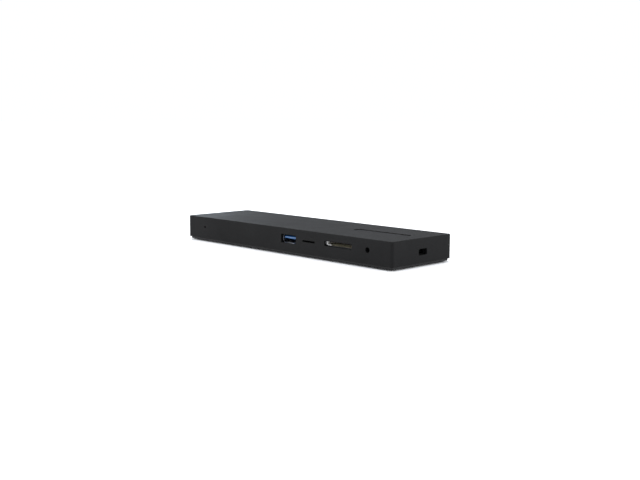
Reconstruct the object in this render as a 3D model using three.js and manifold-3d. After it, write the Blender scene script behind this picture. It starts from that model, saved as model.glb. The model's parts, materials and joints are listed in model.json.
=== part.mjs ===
// Laptop docking station: a slim bar with sockets in its front, rear and right faces.
//
// Millimetres. +X runs along the long side to the right as seen from the front,
// +Y runs from the front face to the rear face, +Z is up. The origin is on the
// table surface, under the middle of the box. The front face is at -Y.
//
// The upper housing is a five-sided tub. The base cover closes it from below and
// carries the circuit board on four standoffs. Every socket stands on the board
// and looks out through its own hole in the housing wall.

import * as THREE from "three";
import { mergeVertices } from "three/addons/utils/BufferGeometryUtils.js";
import Module from "manifold-3d";

const wasm = await Module();
wasm.setup();

// ---------------------------------------------------------------- driving sizes
const BODY_L = 210.4; // housing, along X
const BODY_D = 59.7; // housing, along Y
const FOOT_PROUD = 0.8; // rubber feet below the base cover
const PLINTH_H = 1.77; // visible step of the base cover
const BODY_H = 16.23; // housing wall height
const BODY_Z0 = FOOT_PROUD + PLINTH_H; // 2.57, lower edge of the housing
const BODY_Z1 = BODY_Z0 + BODY_H; // 18.80, top face
const CORNER_R = 2.3; // upright corners
const TOP_EDGE_R = 0.6; // rounded rim of the top face
const WALL = 1.8;
const ROOF = 1.8;
const CEILING = BODY_Z1 - ROOF; // 17.00
const INNER_L = BODY_L - 2 * WALL;
const INNER_D = BODY_D - 2 * WALL;
const PLINTH_INSET = 1.35; // the base cover stands back this far from the wall
const PLINTH_Z1 = BODY_Z0 - 0.08;

const PCB_L = 201;
const PCB_D = 54.4;
const PCB_Z0 = 8.6;
const PCB_Z1 = 10.2;

// Front face sockets: x centre, z centre, hole width, hole height.
const LED = { x: -84.3, z: 11.2, r: 0.9 };
const USB_FRONT = { x: 10.2, z: 11.35, w: 15.2, h: 6.1 };
const MICRO_SD = { x: 30.4, z: 11.45, w: 12.2, h: 1.3 };
const SD = { x: 58.1, z: 11.97, w: 25.1, h: 3.5 };
const AUDIO = { x: 84.4, z: 11.55, r: 1.9 };
// Right face: anti-theft lock slot.
const LOCK = { y: 0.05, z: 9.75, w: 8.4, h: 4.2 };
// Rear face sockets, from +X to -X.
const DC = { x: 90, z: 10.7, w: 8.4, h: 8.0 };
const USB_C = { x: 67, z: 11.3, w: 10.3, h: 4.5 };
const DISPLAY = { x: 42, z: 11.3, w: 17.6, h: 6.4 };
const HDMI = { x: 15, z: 11.3, w: 16.0, h: 6.4 };
const USB_REAR = [
  { x: -12, z: 11.3, w: 15.1, h: 6.2 },
  { x: -36, z: 11.3, w: 15.1, h: 6.2 },
];
const LAN = { x: -64, z: 10.2, w: 14.4, h: 11.2 };

const USB_RECESS = 1.4; // mouth of a USB type-A shell behind the outer face
const SOCKET_RECESS = 1.9; // mouth of the other sockets
const USB_C_RECESS = 2.3; // mouth of the USB type-C shell
const DC_RECESS = 2.3; // mouth of the power inlet
const FRONT = -BODY_D / 2;
const REAR = BODY_D / 2;

const HOUSING_BOSSES = [
  [-98.8, -23.5],
  [98.8, -23.5],
  [98.8, 23.5],
  [-98.8, 23.5],
];
const PCB_SCREWS = [
  [-88, -14],
  [-88, 14],
  [36, -2],
  [90, 7],
];
const FOOT = { l: 20, d: 7, t: 1.4, x: 78, y: 20.4 };
const NAMEPLATE = { x: 69.7, y: 0, l: 48.4, d: 7.6, t: 0.5, pocket: 0.9 };
const LABEL = { l: 70, d: 22, t: 0.2 };

// ---------------------------------------------------------------- materials
const std = (color, roughness, metalness) =>
  new THREE.MeshStandardMaterial({ color, roughness, metalness });
const M = {
  housing: () => std(0x2d2d2e, 0.62, 0),
  base: () => std(0x2c2c2d, 0.7, 0),
  rubber: () => std(0x1a1a1b, 0.9, 0),
  gloss: () => std(0x1c1c20, 0.25, 0),
  label: () => std(0x3a3a3c, 0.45, 0),
  screw: () => std(0x3a3b3e, 0.35, 1),
  board: () => std(0x12382a, 0.45, 0),
  chip: () => std(0x16161a, 0.4, 0),
  ferrite: () => std(0x3b3b3e, 0.6, 0),
  aluminium: () => std(0xb9bcc0, 0.4, 1),
  pad: () => std(0x8fa3b8, 0.85, 0),
  steel: () => std(0xb8bbbf, 0.28, 1),
  nickel: () => std(0xc9c7c0, 0.22, 1),
  gold: () => std(0xc9a24a, 0.3, 1),
  blue: () => std(0x1c5fbd, 0.4, 0),
  black: () => std(0x141416, 0.5, 0),
  clear: () => std(0x9aa0a4, 0.2, 0),
  led: () => std(0xe6e2c8, 0.4, 0),
};

// ---------------------------------------------------------------- solid helpers
function solid(geometry) {
  const g = geometry.clone();
  for (const name of Object.keys(g.attributes))
    if (name !== "position") g.deleteAttribute(name);
  const m = mergeVertices(g, 1e-4);
  return new wasm.Manifold(
    new wasm.Mesh({
      numProp: 3,
      vertProperties: new Float32Array(m.attributes.position.array),
      triVerts: new Uint32Array(m.index.array),
    }),
  );
}

function geometryOf(man) {
  const m = man.getMesh();
  const n = m.numProp;
  const v = new Float32Array(m.numVert * 3);
  for (let i = 0; i < m.numVert; i++)
    v.set(m.vertProperties.subarray(i * n, i * n + 3), i * 3);
  const g = new THREE.BufferGeometry()
    .setAttribute("position", new THREE.BufferAttribute(v, 3))
    .setIndex(new THREE.BufferAttribute(new Uint32Array(m.triVerts), 1));
  g.computeVertexNormals();
  return g;
}

const join = (...list) => list.reduce((a, b) => a.add(b));
const cut = (a, ...list) => list.reduce((s, b) => s.subtract(b), a);

// A box by its two corners.
function box(x0, x1, y0, y1, z0, z1) {
  const g = new THREE.BoxGeometry(x1 - x0, y1 - y0, z1 - z0);
  g.translate((x0 + x1) / 2, (y0 + y1) / 2, (z0 + z1) / 2);
  return solid(g);
}

// A rectangle with round corners, centred on (cx, cy).
function roundRect(w, h, r, cx = 0, cy = 0) {
  const s = new THREE.Shape();
  const x = w / 2 - r;
  const y = h / 2 - r;
  s.moveTo(cx + x, cy - y - r);
  s.absarc(cx + x, cy - y, r, -Math.PI / 2, 0, false);
  s.absarc(cx + x, cy + y, r, 0, Math.PI / 2, false);
  s.absarc(cx - x, cy + y, r, Math.PI / 2, Math.PI, false);
  s.absarc(cx - x, cy - y, r, Math.PI, 1.5 * Math.PI, false);
  return s;
}

// A circle of n flats: its corners lie on the radius, or its flats do when it is a hole.
function circle(r, cx = 0, cy = 0, n = 12) {
  return polygon(
    Array.from({ length: n }, (_, i) => {
      const a = (2 * Math.PI * (i + 0.5)) / n;
      return [cx + r * Math.cos(a), cy + r * Math.sin(a)];
    }),
  );
}
function hole(r, cx = 0, cy = 0, n = 12) {
  return circle(r / Math.cos(Math.PI / n), cx, cy, n);
}

function polygon(points) {
  return new THREE.Shape(points.map(([x, y]) => new THREE.Vector2(x, y)));
}

function extrude(shape, depth, segments) {
  return new THREE.ExtrudeGeometry(shape, {
    depth,
    bevelEnabled: false,
    curveSegments: segments,
  });
}

// Prisms of a shape drawn in XY, in XZ (seen from the front) and in YZ (seen from the right).
function alongZ(shape, z0, z1, segments = 3) {
  return solid(extrude(shape, z1 - z0, segments).translate(0, 0, z0));
}
function alongY(shape, y0, y1, segments = 3) {
  return solid(
    extrude(shape, y1 - y0, segments)
      .rotateX(Math.PI / 2)
      .translate(0, y1, 0),
  );
}
const YZX = new THREE.Matrix4().makeBasis(
  new THREE.Vector3(0, 1, 0),
  new THREE.Vector3(0, 0, 1),
  new THREE.Vector3(1, 0, 0),
);
function alongX(shape, x0, x1, segments = 3) {
  return solid(
    extrude(shape, x1 - x0, segments)
      .applyMatrix4(YZX)
      .translate(x0, 0, 0),
  );
}

// ---------------------------------------------------------------- assembly helpers
const dock = new THREE.Group();
dock.name = "docking_station";

function mesh(name, man, material) {
  const m = new THREE.Mesh(geometryOf(man), material);
  m.name = name;
  return m;
}

// A group for one socket. Inside it +Y points into the housing and y = 0 is the mouth.
function socketGroup(x, y, z, rear = false) {
  const g = new THREE.Group();
  g.position.set(x, y, z);
  if (rear) g.rotation.z = Math.PI;
  dock.add(g);
  return g;
}

// ---------------------------------------------------------------- upper housing
function upperHousing() {
  // Outer form: a rounded bar with a rounded rim, trimmed flat at its lower edge.
  const outline = roundRect(
    BODY_L - 2 * TOP_EDGE_R,
    BODY_D - 2 * TOP_EDGE_R,
    CORNER_R - TOP_EDGE_R,
  );
  const depth = BODY_H - 2 * TOP_EDGE_R + 3;
  const bar = new THREE.ExtrudeGeometry(outline, {
    depth,
    bevelEnabled: true,
    bevelThickness: TOP_EDGE_R,
    bevelSize: TOP_EDGE_R,
    bevelSegments: 3,
    curveSegments: 3,
  }).translate(0, 0, BODY_Z1 - TOP_EDGE_R - depth);
  let s = solid(bar);
  s = cut(s, box(-120, 120, -40, 40, BODY_Z0 - 10, BODY_Z0));
  s = cut(s, alongZ(roundRect(INNER_L, INNER_D, 1.2), BODY_Z0 - 1, CEILING, 2));

  // Screw bosses from the ceiling, with pilot holes.
  for (const [x, y] of HOUSING_BOSSES) {
    s = join(s, alongZ(circle(3.0, x, y), 3.7, CEILING + 0.5));
    s = cut(s, alongZ(hole(1.3, x, y, 8), 3.0, 10.5));
  }
  // Ribs that hold the lock bracket.
  s = join(
    s,
    box(100.9, INNER_L / 2 + 0.5, -10.2, -9.4, 6, CEILING + 0.5),
    box(100.9, INNER_L / 2 + 0.5, 9.5, 10.3, 6, CEILING + 0.5),
  );
  // Stiffening ribs under the roof.
  for (const x of [-48, -24, 27])
    s = join(s, box(x - 0.5, x + 0.5, -28.2, 28.2, 16.1, CEILING + 0.5));

  // Front face.
  const fy = [FRONT - 1, FRONT + WALL + 0.02];
  s = cut(
    s,
    alongY(hole(LED.r, LED.x, LED.z, 16), ...fy),
    alongY(roundRect(USB_FRONT.w, USB_FRONT.h, 0.6, USB_FRONT.x, USB_FRONT.z), ...fy, 1),
    alongY(roundRect(MICRO_SD.w, MICRO_SD.h, 0.45, MICRO_SD.x, MICRO_SD.z), ...fy, 1),
    alongY(roundRect(SD.w, SD.h, 0.5, SD.x, SD.z), ...fy, 1),
    alongY(hole(AUDIO.r, AUDIO.x, AUDIO.z, 24), ...fy),
  );
  // Right face.
  s = cut(
    s,
    alongX(roundRect(LOCK.w, LOCK.h, 0.7, LOCK.y, LOCK.z), INNER_L / 2 - 0.02, BODY_L / 2 + 1, 2),
  );
  // Rear face.
  const ry = [REAR - WALL - 0.02, REAR + 1];
  s = cut(
    s,
    alongY(roundRect(DC.w, DC.h, 1.2, DC.x, DC.z), ...ry, 2),
    alongY(roundRect(USB_C.w, USB_C.h, 2.2, USB_C.x, USB_C.z), ...ry, 2),
    alongY(roundRect(DISPLAY.w, DISPLAY.h, 0.7, DISPLAY.x, DISPLAY.z), ...ry, 1),
    alongY(roundRect(HDMI.w, HDMI.h, 0.7, HDMI.x, HDMI.z), ...ry, 1),
    ...USB_REAR.map((u) => alongY(roundRect(u.w, u.h, 0.6, u.x, u.z), ...ry, 1)),
    alongY(roundRect(LAN.w, LAN.h, 0.6, LAN.x, LAN.z), ...ry, 1),
  );
  // Pocket for the nameplate in the top face.
  s = cut(
    s,
    alongZ(
      roundRect(NAMEPLATE.l + 0.3, NAMEPLATE.d + 0.3, NAMEPLATE.d / 2 + 0.14, NAMEPLATE.x, NAMEPLATE.y),
      BODY_Z1 - NAMEPLATE.pocket,
      BODY_Z1 + 1,
      4,
    ),
  );
  return s;
}
dock.add(mesh("upper_housing", upperHousing(), M.housing()));

// ---------------------------------------------------------------- base cover
const COVER_L = BODY_L - 2 * PLINTH_INSET;
const COVER_D = BODY_D - 2 * PLINTH_INSET;
function baseCover() {
  const chamfer = 0.4;
  const plate = new THREE.ExtrudeGeometry(
    roundRect(COVER_L - 2 * chamfer, COVER_D - 2 * chamfer, 1.2 - chamfer),
    {
      depth: 3,
      bevelEnabled: true,
      bevelThickness: chamfer,
      bevelSize: chamfer,
      bevelSegments: 1,
      curveSegments: 2,
    },
  ).translate(0, 0, FOOT_PROUD + chamfer);
  let s = solid(plate);
  s = cut(s, box(-120, 120, -40, 40, PLINTH_Z1, PLINTH_Z1 + 5));
  // Locating rim inside the housing walls, open where the lock bracket stands.
  const rimZ = [PLINTH_Z1 - 0.3, 3.55];
  s = join(
    s,
    cut(
      alongZ(roundRect(INNER_L - 0.6, INNER_D - 0.6, 0.9), ...rimZ, 1),
      alongZ(roundRect(INNER_L - 3.0, INNER_D - 3.0, 0.4), rimZ[0] - 1, rimZ[1] + 1, 1),
      box(99, 106, -10.5, 10.6, PLINTH_Z1, 6),
      ...HOUSING_BOSSES.map(([x, y]) => box(x - 4, x + 4, y - 4, y + 4, PLINTH_Z1, 6)),
    ),
  );
  // Screw seats: a low boss, a counterbore and a through hole at each corner.
  for (const [x, y] of HOUSING_BOSSES) {
    s = join(s, alongZ(circle(3.3, x, y), PLINTH_Z1 - 0.3, 3.55));
    s = cut(s, alongZ(hole(2.5, x, y, 16), 0, 2.2));
    s = cut(s, alongZ(hole(1.5, x, y, 8), 0, 5));
  }
  // Board standoffs with pilot holes.
  for (const [x, y] of PCB_SCREWS) {
    s = join(s, alongZ(circle(2.6, x, y, 10), PLINTH_Z1 - 0.3, PCB_Z0 - 0.06));
    s = cut(s, alongZ(hole(1.05, x, y, 8), 4.2, PCB_Z0 + 1));
  }
  // Pockets for the feet.
  for (const sx of [-1, 1])
    for (const sy of [-1, 1])
      s = cut(
        s,
        alongZ(
          roundRect(FOOT.l + 0.4, FOOT.d + 0.4, 3.69, sx * FOOT.x, sy * FOOT.y),
          0,
          FOOT.t + 0.02,
          2,
        ),
      );
  // Shallow recess for the blank label.
  s = cut(
    s,
    alongZ(roundRect(LABEL.l + 0.6, LABEL.d + 0.6, 1.3), 0, FOOT_PROUD + LABEL.t + 0.05, 1),
  );
  // Air slots, in two fields.
  for (const cx of [-56, 56])
    for (let i = 0; i < 6; i++)
      s = cut(s, alongZ(roundRect(1.8, 20, 0.89, cx + (i - 2.5) * 3.6, 0), 0, 3, 1));
  return s;
}
dock.add(mesh("base_cover", baseCover(), M.base()));

// ---------------------------------------------------------------- feet, label, nameplate
{
  const names = [
    ["foot_front_left", -1, -1],
    ["foot_front_right", 1, -1],
    ["foot_rear_left", -1, 1],
    ["foot_rear_right", 1, 1],
  ];
  for (const [name, sx, sy] of names) {
    const g = new THREE.ExtrudeGeometry(roundRect(FOOT.l - 0.6, FOOT.d - 0.6, FOOT.d / 2 - 0.32), {
      depth: FOOT.t - 0.6,
      bevelEnabled: true,
      bevelThickness: 0.3,
      bevelSize: 0.3,
      bevelSegments: 1,
      curveSegments: 2,
    }).translate(0, 0, 0.3);
    const m = mesh(name, solid(g), M.rubber());
    m.position.set(sx * FOOT.x, sy * FOOT.y, 0);
    dock.add(m);
  }
  const label = mesh(
    "blank_label",
    alongZ(roundRect(LABEL.l, LABEL.d, 1.0), 0, LABEL.t, 1),
    M.label(),
  );
  label.position.set(0, 0, FOOT_PROUD + 0.02);
  dock.add(label);

  const plate = new THREE.ExtrudeGeometry(
    roundRect(NAMEPLATE.l - 0.3, NAMEPLATE.d - 0.3, NAMEPLATE.d / 2 - 0.16),
    {
      depth: NAMEPLATE.t - 0.3,
      bevelEnabled: true,
      bevelThickness: 0.15,
      bevelSize: 0.15,
      bevelSegments: 1,
      curveSegments: 4,
    },
  ).translate(0, 0, 0.15);
  const np = mesh("nameplate", solid(plate), M.gloss());
  np.position.set(NAMEPLATE.x, NAMEPLATE.y, BODY_Z1 - NAMEPLATE.pocket + 0.02);
  dock.add(np);
}

// ---------------------------------------------------------------- circuit board
function notch(x, halfWidth, y0, y1) {
  return box(x - halfWidth, x + halfWidth, y0, y1, PCB_Z0 - 1, PCB_Z1 + 1);
}
{
  let s = alongZ(roundRect(PCB_L, PCB_D, 1.0), PCB_Z0, PCB_Z1, 1);
  for (const [x, y] of HOUSING_BOSSES) {
    const sx = Math.sign(x);
    const sy = Math.sign(y);
    s = cut(
      s,
      box(
        Math.min(sx * 95.4, sx * 110),
        Math.max(sx * 95.4, sx * 110),
        Math.min(sy * 20.0, sy * 40),
        Math.max(sy * 20.0, sy * 40),
        PCB_Z0 - 1,
        PCB_Z1 + 1,
      ),
    );
  }
  s = cut(
    s,
    notch(USB_FRONT.x, 7.0, -40, FRONT + USB_RECESS + 14.5),
    notch(AUDIO.x, 3.9, -40, FRONT + SOCKET_RECESS + 13.0),
    notch(DC.x, 5.1, REAR - DC_RECESS - 13.5, 40),
    notch(USB_C.x, 4.9, REAR - USB_C_RECESS - 9.4, 40),
    notch(DISPLAY.x, 8.8, REAR - SOCKET_RECESS - 12.0, 40),
    notch(HDMI.x, 8.0, REAR - SOCKET_RECESS - 12.0, 40),
    ...USB_REAR.map((u) => notch(u.x, 7.0, REAR - USB_RECESS - 14.5, 40)),
    notch(LAN.x, 8.5, REAR - SOCKET_RECESS - 15.0, 40),
    ...PCB_SCREWS.map(([x, y]) => alongZ(hole(1.2, x, y, 10), PCB_Z0 - 1, PCB_Z1 + 1)),
  );
  dock.add(mesh("main_circuit_board", s, M.board()));
}

// Board parts: plain packages standing on the board.
function onBoard(name, x, y, w, d, h, material, z = PCB_Z1 + 0.05) {
  const m = mesh(name, box(-w / 2, w / 2, -d / 2, d / 2, 0, h), material);
  m.position.set(x, y, z);
  dock.add(m);
}
onBoard("display_controller_chip", -58, -4, 17, 17, 1.4, M.chip());
onBoard("usb_hub_chip", -22, -4, 9, 9, 1.4, M.chip());
onBoard("ethernet_controller_chip", -82, 0, 7, 7, 0.9, M.chip());
onBoard("card_reader_chip", 24, -5, 6, 6, 0.8, M.chip());
onBoard("power_inductor", 76, 2, 7.3, 7.3, 3.0, M.ferrite());
onBoard("ethernet_transformer", -49.3, 14.6, 6.4, 12.8, 4.0, M.chip());
{
  // Aluminium heat spreader: a channel over the two large chips, on its thermal pads.
  const z0 = PCB_Z1 + 0.05 + 1.4 + 0.7;
  const s = join(
    box(-30, 30, -9.5, 9.5, z0, z0 + 1.0),
    box(-30, 30, -9.5, -8.5, z0, z0 + 2.8),
    box(-30, 30, 8.5, 9.5, z0, z0 + 2.8),
  );
  const m = mesh("heat_spreader", s, M.aluminium());
  m.position.set(-40, -4, 0);
  dock.add(m);
  onBoard("thermal_pad", -58, -4, 16, 16, 0.6, M.pad(), PCB_Z1 + 0.05 + 1.4 + 0.05);
}

// ---------------------------------------------------------------- screws
function screw(headR, headH, shankR, length) {
  // Head at the top, driven from above; z = 0 is under the head.
  const profile = [
    [0, -length],
    [shankR * 0.7, -length],
    [shankR, -length + 0.6],
    [shankR, 0],
    [headR, 0],
    [headR, headH * 0.55],
    [headR * 0.72, headH],
    [0, headH],
  ].map(([x, y]) => new THREE.Vector2(x, y));
  const s = solid(new THREE.LatheGeometry(profile, 12).rotateX(Math.PI / 2));
  const slot = (a) =>
    solid(new THREE.BoxGeometry(headR * 1.1, headR * 0.28, headH * 1.2).rotateZ(a).translate(0, 0, headH * 1.05));
  return cut(s, slot(0), slot(Math.PI / 2));
}
PCB_SCREWS.forEach(([x, y], i) => {
  const m = mesh(`board_screw_${i + 1}`, screw(2.1, 1.2, 0.9, 5.2), M.screw());
  m.position.set(x, y, PCB_Z1 + 0.05);
  dock.add(m);
});
HOUSING_BOSSES.forEach(([x, y], i) => {
  const m = mesh(`housing_screw_${i + 1}`, screw(2.3, 1.1, 1.15, 7.0), M.screw());
  m.position.set(x, y, 2.14);
  m.rotation.x = Math.PI; // driven from below
  dock.add(m);
});

// ---------------------------------------------------------------- sockets
// USB type-A: pressed shell, tongue and a stamped strip of four contacts.
function usbA(prefix, at, rear) {
  const g = socketGroup(at.x, rear ? REAR - USB_RECESS : FRONT + USB_RECESS, at.z, rear);
  const shell = cut(
    alongY(roundRect(13.1, 5.7, 0.5), 0, 14, 1),
    alongY(roundRect(12.5, 5.1, 0.25), -1, 13.7, 1),
  );
  g.add(mesh(`${prefix}_shell`, shell, M.steel()));
  const tongue = join(
    box(-6.15, 6.15, 10.3, 13.6, -2.45, 2.45),
    box(-5.55, 5.55, 1.0, 11, 0.0, 1.84),
  );
  g.add(mesh(`${prefix}_tongue`, tongue, M.blue()));
  let strip = box(-4.2, 4.2, 9.4, 10.1, -0.32, -0.06);
  for (const x of [-3.5, -1.0, 1.0, 3.5])
    strip = join(strip, box(x - 0.5, x + 0.5, 2.0, 9.6, -0.32, -0.06));
  g.add(mesh(`${prefix}_contacts`, strip, M.gold()));
}
usbA("usb_a_front", USB_FRONT, false);
usbA("usb_a_rear_1", USB_REAR[0], true);
usbA("usb_a_rear_2", USB_REAR[1], true);

// USB type-C host socket.
{
  const g = socketGroup(USB_C.x, REAR - USB_C_RECESS, USB_C.z, true);
  g.add(
    mesh(
      "usb_c_host_shell",
      cut(
        alongY(roundRect(8.94, 3.16, 1.57), 0, 9, 2),
        alongY(roundRect(8.34, 2.56, 1.27), -1, 8.7, 2),
      ),
      M.steel(),
    ),
  );
  g.add(
    mesh(
      "usb_c_host_tongue",
      join(
        alongY(roundRect(8.1, 2.3, 1.14), 6.4, 8.6, 2),
        box(-3.35, 3.35, 0.6, 7, -0.35, 0.35),
      ),
      M.black(),
    ),
  );
}

// HDMI: the shell narrows towards its lower side.
{
  const g = socketGroup(HDMI.x, REAR - SOCKET_RECESS, HDMI.z, true);
  const outline = (o) =>
    polygon([
      [-7.0 - o, 2.3 + o],
      [-7.0 - o, -0.9 - 0.3 * o],
      [-5.9 - o, -2.3 - o],
      [5.9 + o, -2.3 - o],
      [7.0 + o, -0.9 - 0.3 * o],
      [7.0 + o, 2.3 + o],
    ]);
  g.add(
    mesh("hdmi_shell", cut(alongY(outline(0.35), 0, 11.5), alongY(outline(0), -1, 11.2)), M.steel()),
  );
  g.add(
    mesh(
      "hdmi_tongue",
      join(box(-5.7, 5.7, 9.2, 11.1, -2.1, 2.1), box(-5.6, 5.6, 1.0, 10, 0.25, 1.25)),
      M.black(),
    ),
  );
}

// DisplayPort: one lower corner is cut off.
{
  const g = socketGroup(DISPLAY.x, REAR - SOCKET_RECESS, DISPLAY.z, true);
  const outline = (o) =>
    polygon([
      [-8.05 - o, 2.4 + o],
      [-8.05 - o, -2.4 - o],
      [5.9 + 0.4 * o, -2.4 - o],
      [8.05 + o, -0.3 - 0.4 * o],
      [8.05 + o, 2.4 + o],
    ]);
  g.add(
    mesh(
      "displayport_shell",
      cut(alongY(outline(0.35), 0, 11.5), alongY(outline(0), -1, 11.2)),
      M.steel(),
    ),
  );
  g.add(
    mesh(
      "displayport_tongue",
      join(box(-7.8, 5.6, 9.2, 11.1, -2.2, 2.2), box(-6.7, 5.6, 1.0, 10, 0.1, 1.2)),
      M.black(),
    ),
  );
}

// Ethernet: an insert with the stepped plug opening, inside a shield, with eight wires.
{
  const g = socketGroup(LAN.x, REAR - SOCKET_RECESS, LAN.z, true);
  const shield = cut(
    box(-8.0, 8.0, 0.25, 14.5, -6.2, 6.2),
    box(-7.7, 7.7, -1, 14.2, -5.9, 5.9),
  );
  g.add(mesh("ethernet_jack_shield", shield, M.nickel()));
  // The plug enters with its latch downwards.
  const insert = cut(
    box(-7.55, 7.55, 0, 14.0, -5.75, 5.75),
    box(-5.95, 5.95, -1, 12.0, -2.9, 3.6),
    box(-3.1, 3.1, -1, 12.0, -4.2, -2.8),
    box(-1.7, 1.7, -1, 9.0, -5.1, -4.1),
  );
  g.add(mesh("ethernet_jack_insert", insert, M.black()));
  let wires = box(-4.6, 4.6, 11.0, 11.8, 3.1, 3.45);
  for (let i = 0; i < 8; i++) {
    const x = (i - 3.5) * 1.02;
    const wire = alongX(
      polygon([
        [11.3, 3.45],
        [4.0, 1.6],
        [3.9, 1.25],
        [11.5, 3.15],
      ]),
      x - 0.23,
      x + 0.23,
    );
    wires = join(wires, wire);
  }
  g.add(mesh("ethernet_jack_contacts", wires, M.gold()));
}

// DC inlet: a moulded housing with a round well and a centre pin.
{
  const g = socketGroup(DC.x, REAR - DC_RECESS, DC.z, true);
  const housing = cut(
    box(-4.7, 4.7, 0, 13, -4.9, 4.9),
    alongY(hole(3.1, 0, 0, 20), -1, 10),
    alongY(hole(1.35, 0, 0, 12), 9, 12.2),
  );
  g.add(mesh("dc_inlet_housing", housing, M.black()));
  const pin = new THREE.LatheGeometry(
    [
      [0, 1.0],
      [0.6, 1.0],
      [1.05, 1.5],
      [1.05, 12.0],
      [0, 12.0],
    ].map(([x, y]) => new THREE.Vector2(x, y)),
    14,
  );
  g.add(mesh("dc_inlet_pin", solid(pin), M.nickel()));
}

// Headset jack: a moulded body with a 3.6 mm bore and one leaf contact beside it.
{
  const g = socketGroup(AUDIO.x, FRONT + SOCKET_RECESS, AUDIO.z);
  const body = cut(
    box(-3.5, 3.5, 0, 12.5, -2.75, 2.75),
    alongY(hole(1.8, 0, 0, 20), -1, 11.3),
    box(1.2, 3.0, 3.5, 10.5, -0.8, 0.8),
  );
  g.add(mesh("audio_jack_body", body, M.black()));
  const leaf = alongZ(
    polygon([
      [2.75, 3.8],
      [2.75, 5.0],
      [1.95, 7.0],
      [2.75, 9.2],
      [2.75, 10.2],
      [2.5, 10.2],
      [2.5, 9.2],
      [1.65, 7.0],
      [2.5, 5.0],
      [2.5, 3.8],
    ]),
    -0.55,
    0.55,
  );
  g.add(mesh("audio_jack_contact", leaf, M.gold()));
}

// Status light: a side-looking diode and the light pipe in the wall.
{
  const g = socketGroup(LED.x, FRONT, LED.z);
  g.add(mesh("status_light_pipe", alongY(circle(0.72, 0, 0, 12), 0.35, 3.7), M.clear()));
  g.add(mesh("status_led", box(-0.8, 0.8, 3.9, 5.1, PCB_Z1 + 0.05 - LED.z, 0.6), M.led()));
}

// A coil spring along +Y, from y0 to y1.
class Helix extends THREE.Curve {
  constructor(x, z, r, y0, y1, turns) {
    super();
    Object.assign(this, { x, z, r, y0, y1, turns });
  }
  getPoint(t, target = new THREE.Vector3()) {
    const a = 2 * Math.PI * this.turns * t;
    return target.set(
      this.x + this.r * Math.cos(a),
      this.y0 + (this.y1 - this.y0) * t,
      this.z + this.r * Math.sin(a),
    );
  }
}
function spring(x, z, r, y0, y1, turns, wire) {
  const section = new THREE.Shape();
  for (let i = 0; i < 5; i++) {
    const a = (2 * Math.PI * i) / 5;
    if (i) section.lineTo(wire * Math.cos(a), wire * Math.sin(a));
    else section.moveTo(wire, 0);
  }
  section.closePath();
  return solid(
    new THREE.ExtrudeGeometry(section, {
      steps: Math.round(turns * 9),
      extrudePath: new Helix(x, z, r, y0, y1, turns),
      bevelEnabled: false,
    }),
  );
}

// SD card socket: floor, pressed cover, nine contact springs, ejector slider and its spring.
{
  const g = socketGroup(SD.x, FRONT + SOCKET_RECESS, 0);
  const z0 = PCB_Z1 + 0.1; // 10.30
  const floor = z0 + 0.55;
  const top = 13.75;
  g.add(
    mesh(
      "sd_socket_cover",
      cut(box(-12.8, 12.8, 0, 28.8, z0, top), box(-12.5, 12.5, -1, 30, z0 - 1, top - 0.3)),
      M.steel(),
    ),
  );
  g.add(
    mesh(
      "sd_socket_base",
      join(
        box(-12.35, 12.35, 0.8, 28.6, z0, floor),
        box(-12.35, 12.35, 27.1, 28.6, z0, top - 0.45),
        // left guide rail, behind the bare steel lead-in
        box(-12.35, -12.08, 4.2, 28.6, z0, top - 0.45),
        // side wall of the ejector channel
        box(6.9, 7.5, 18.8, 27.5, z0, 12.9),
      ),
      M.black(),
    ),
  );
  let strip = box(-11.0, 10.7, 3.0, 3.7, floor + 0.06, floor + 0.36);
  for (let i = 0; i < 9; i++) {
    const x = -10 + 2.5 * i;
    strip = join(
      strip,
      alongX(
        polygon([
          [3.2, floor + 0.06],
          [12.2, 12.15],
          [14.8, 11.5],
          [14.9, 11.75],
          [12.2, 12.42],
          [3.2, floor + 0.36],
        ]),
        x - 0.6,
        x + 0.6,
      ),
    );
  }
  g.add(mesh("sd_contact_strip", strip, M.gold()));
  g.add(
    mesh(
      "sd_eject_slider",
      join(
        box(10.95, 12.25, 14.2, 18.2, floor + 0.2, 13.2),
        box(8.0, 11.2, 16.9, 18.2, floor + 0.2, 13.2),
      ),
      M.black(),
    ),
  );
  g.add(mesh("sd_eject_spring", spring(11.55, 12.0, 0.5, 18.5, 26.9, 7, 0.13), M.nickel()));
}

// microSD card socket, built the same way.
{
  const g = socketGroup(MICRO_SD.x, FRONT + SOCKET_RECESS, 0);
  const z0 = PCB_Z1 + 0.1;
  const floor = z0 + 0.4;
  const top = 12.25;
  g.add(
    mesh(
      "microsd_socket_cover",
      cut(box(-6.85, 6.85, 0, 15.4, z0, top), box(-6.6, 6.6, -1, 16, z0 - 1, top - 0.2)),
      M.steel(),
    ),
  );
  g.add(
    mesh(
      "microsd_socket_base",
      join(
        box(-6.45, 6.45, 0.6, 15.2, z0, floor),
        box(-6.45, 6.45, 14.2, 15.2, z0, top - 0.35),
      ),
      M.black(),
    ),
  );
  let strip = box(-4.3, 4.2, 2.2, 2.8, floor + 0.05, floor + 0.25);
  for (let i = 0; i < 8; i++) {
    const x = -3.9 + 1.1 * i;
    strip = join(
      strip,
      alongX(
        polygon([
          [2.4, floor + 0.05],
          [7.0, 11.4],
          [8.3, 11.1],
          [8.3, 11.3],
          [7.0, 11.58],
          [2.4, floor + 0.25],
        ]),
        x - 0.3,
        x + 0.3,
      ),
    );
  }
  g.add(mesh("microsd_contact_strip", strip, M.gold()));
  g.add(
    mesh(
      "microsd_eject_slider",
      join(
        box(5.0, 6.3, 6.2, 9.7, floor + 0.15, 11.85),
        box(3.0, 5.2, 8.8, 9.7, floor + 0.15, 11.85),
      ),
      M.black(),
    ),
  );
  g.add(mesh("microsd_eject_spring", spring(5.65, 11.3, 0.36, 9.95, 14.0, 6, 0.1), M.nickel()));
}

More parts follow.
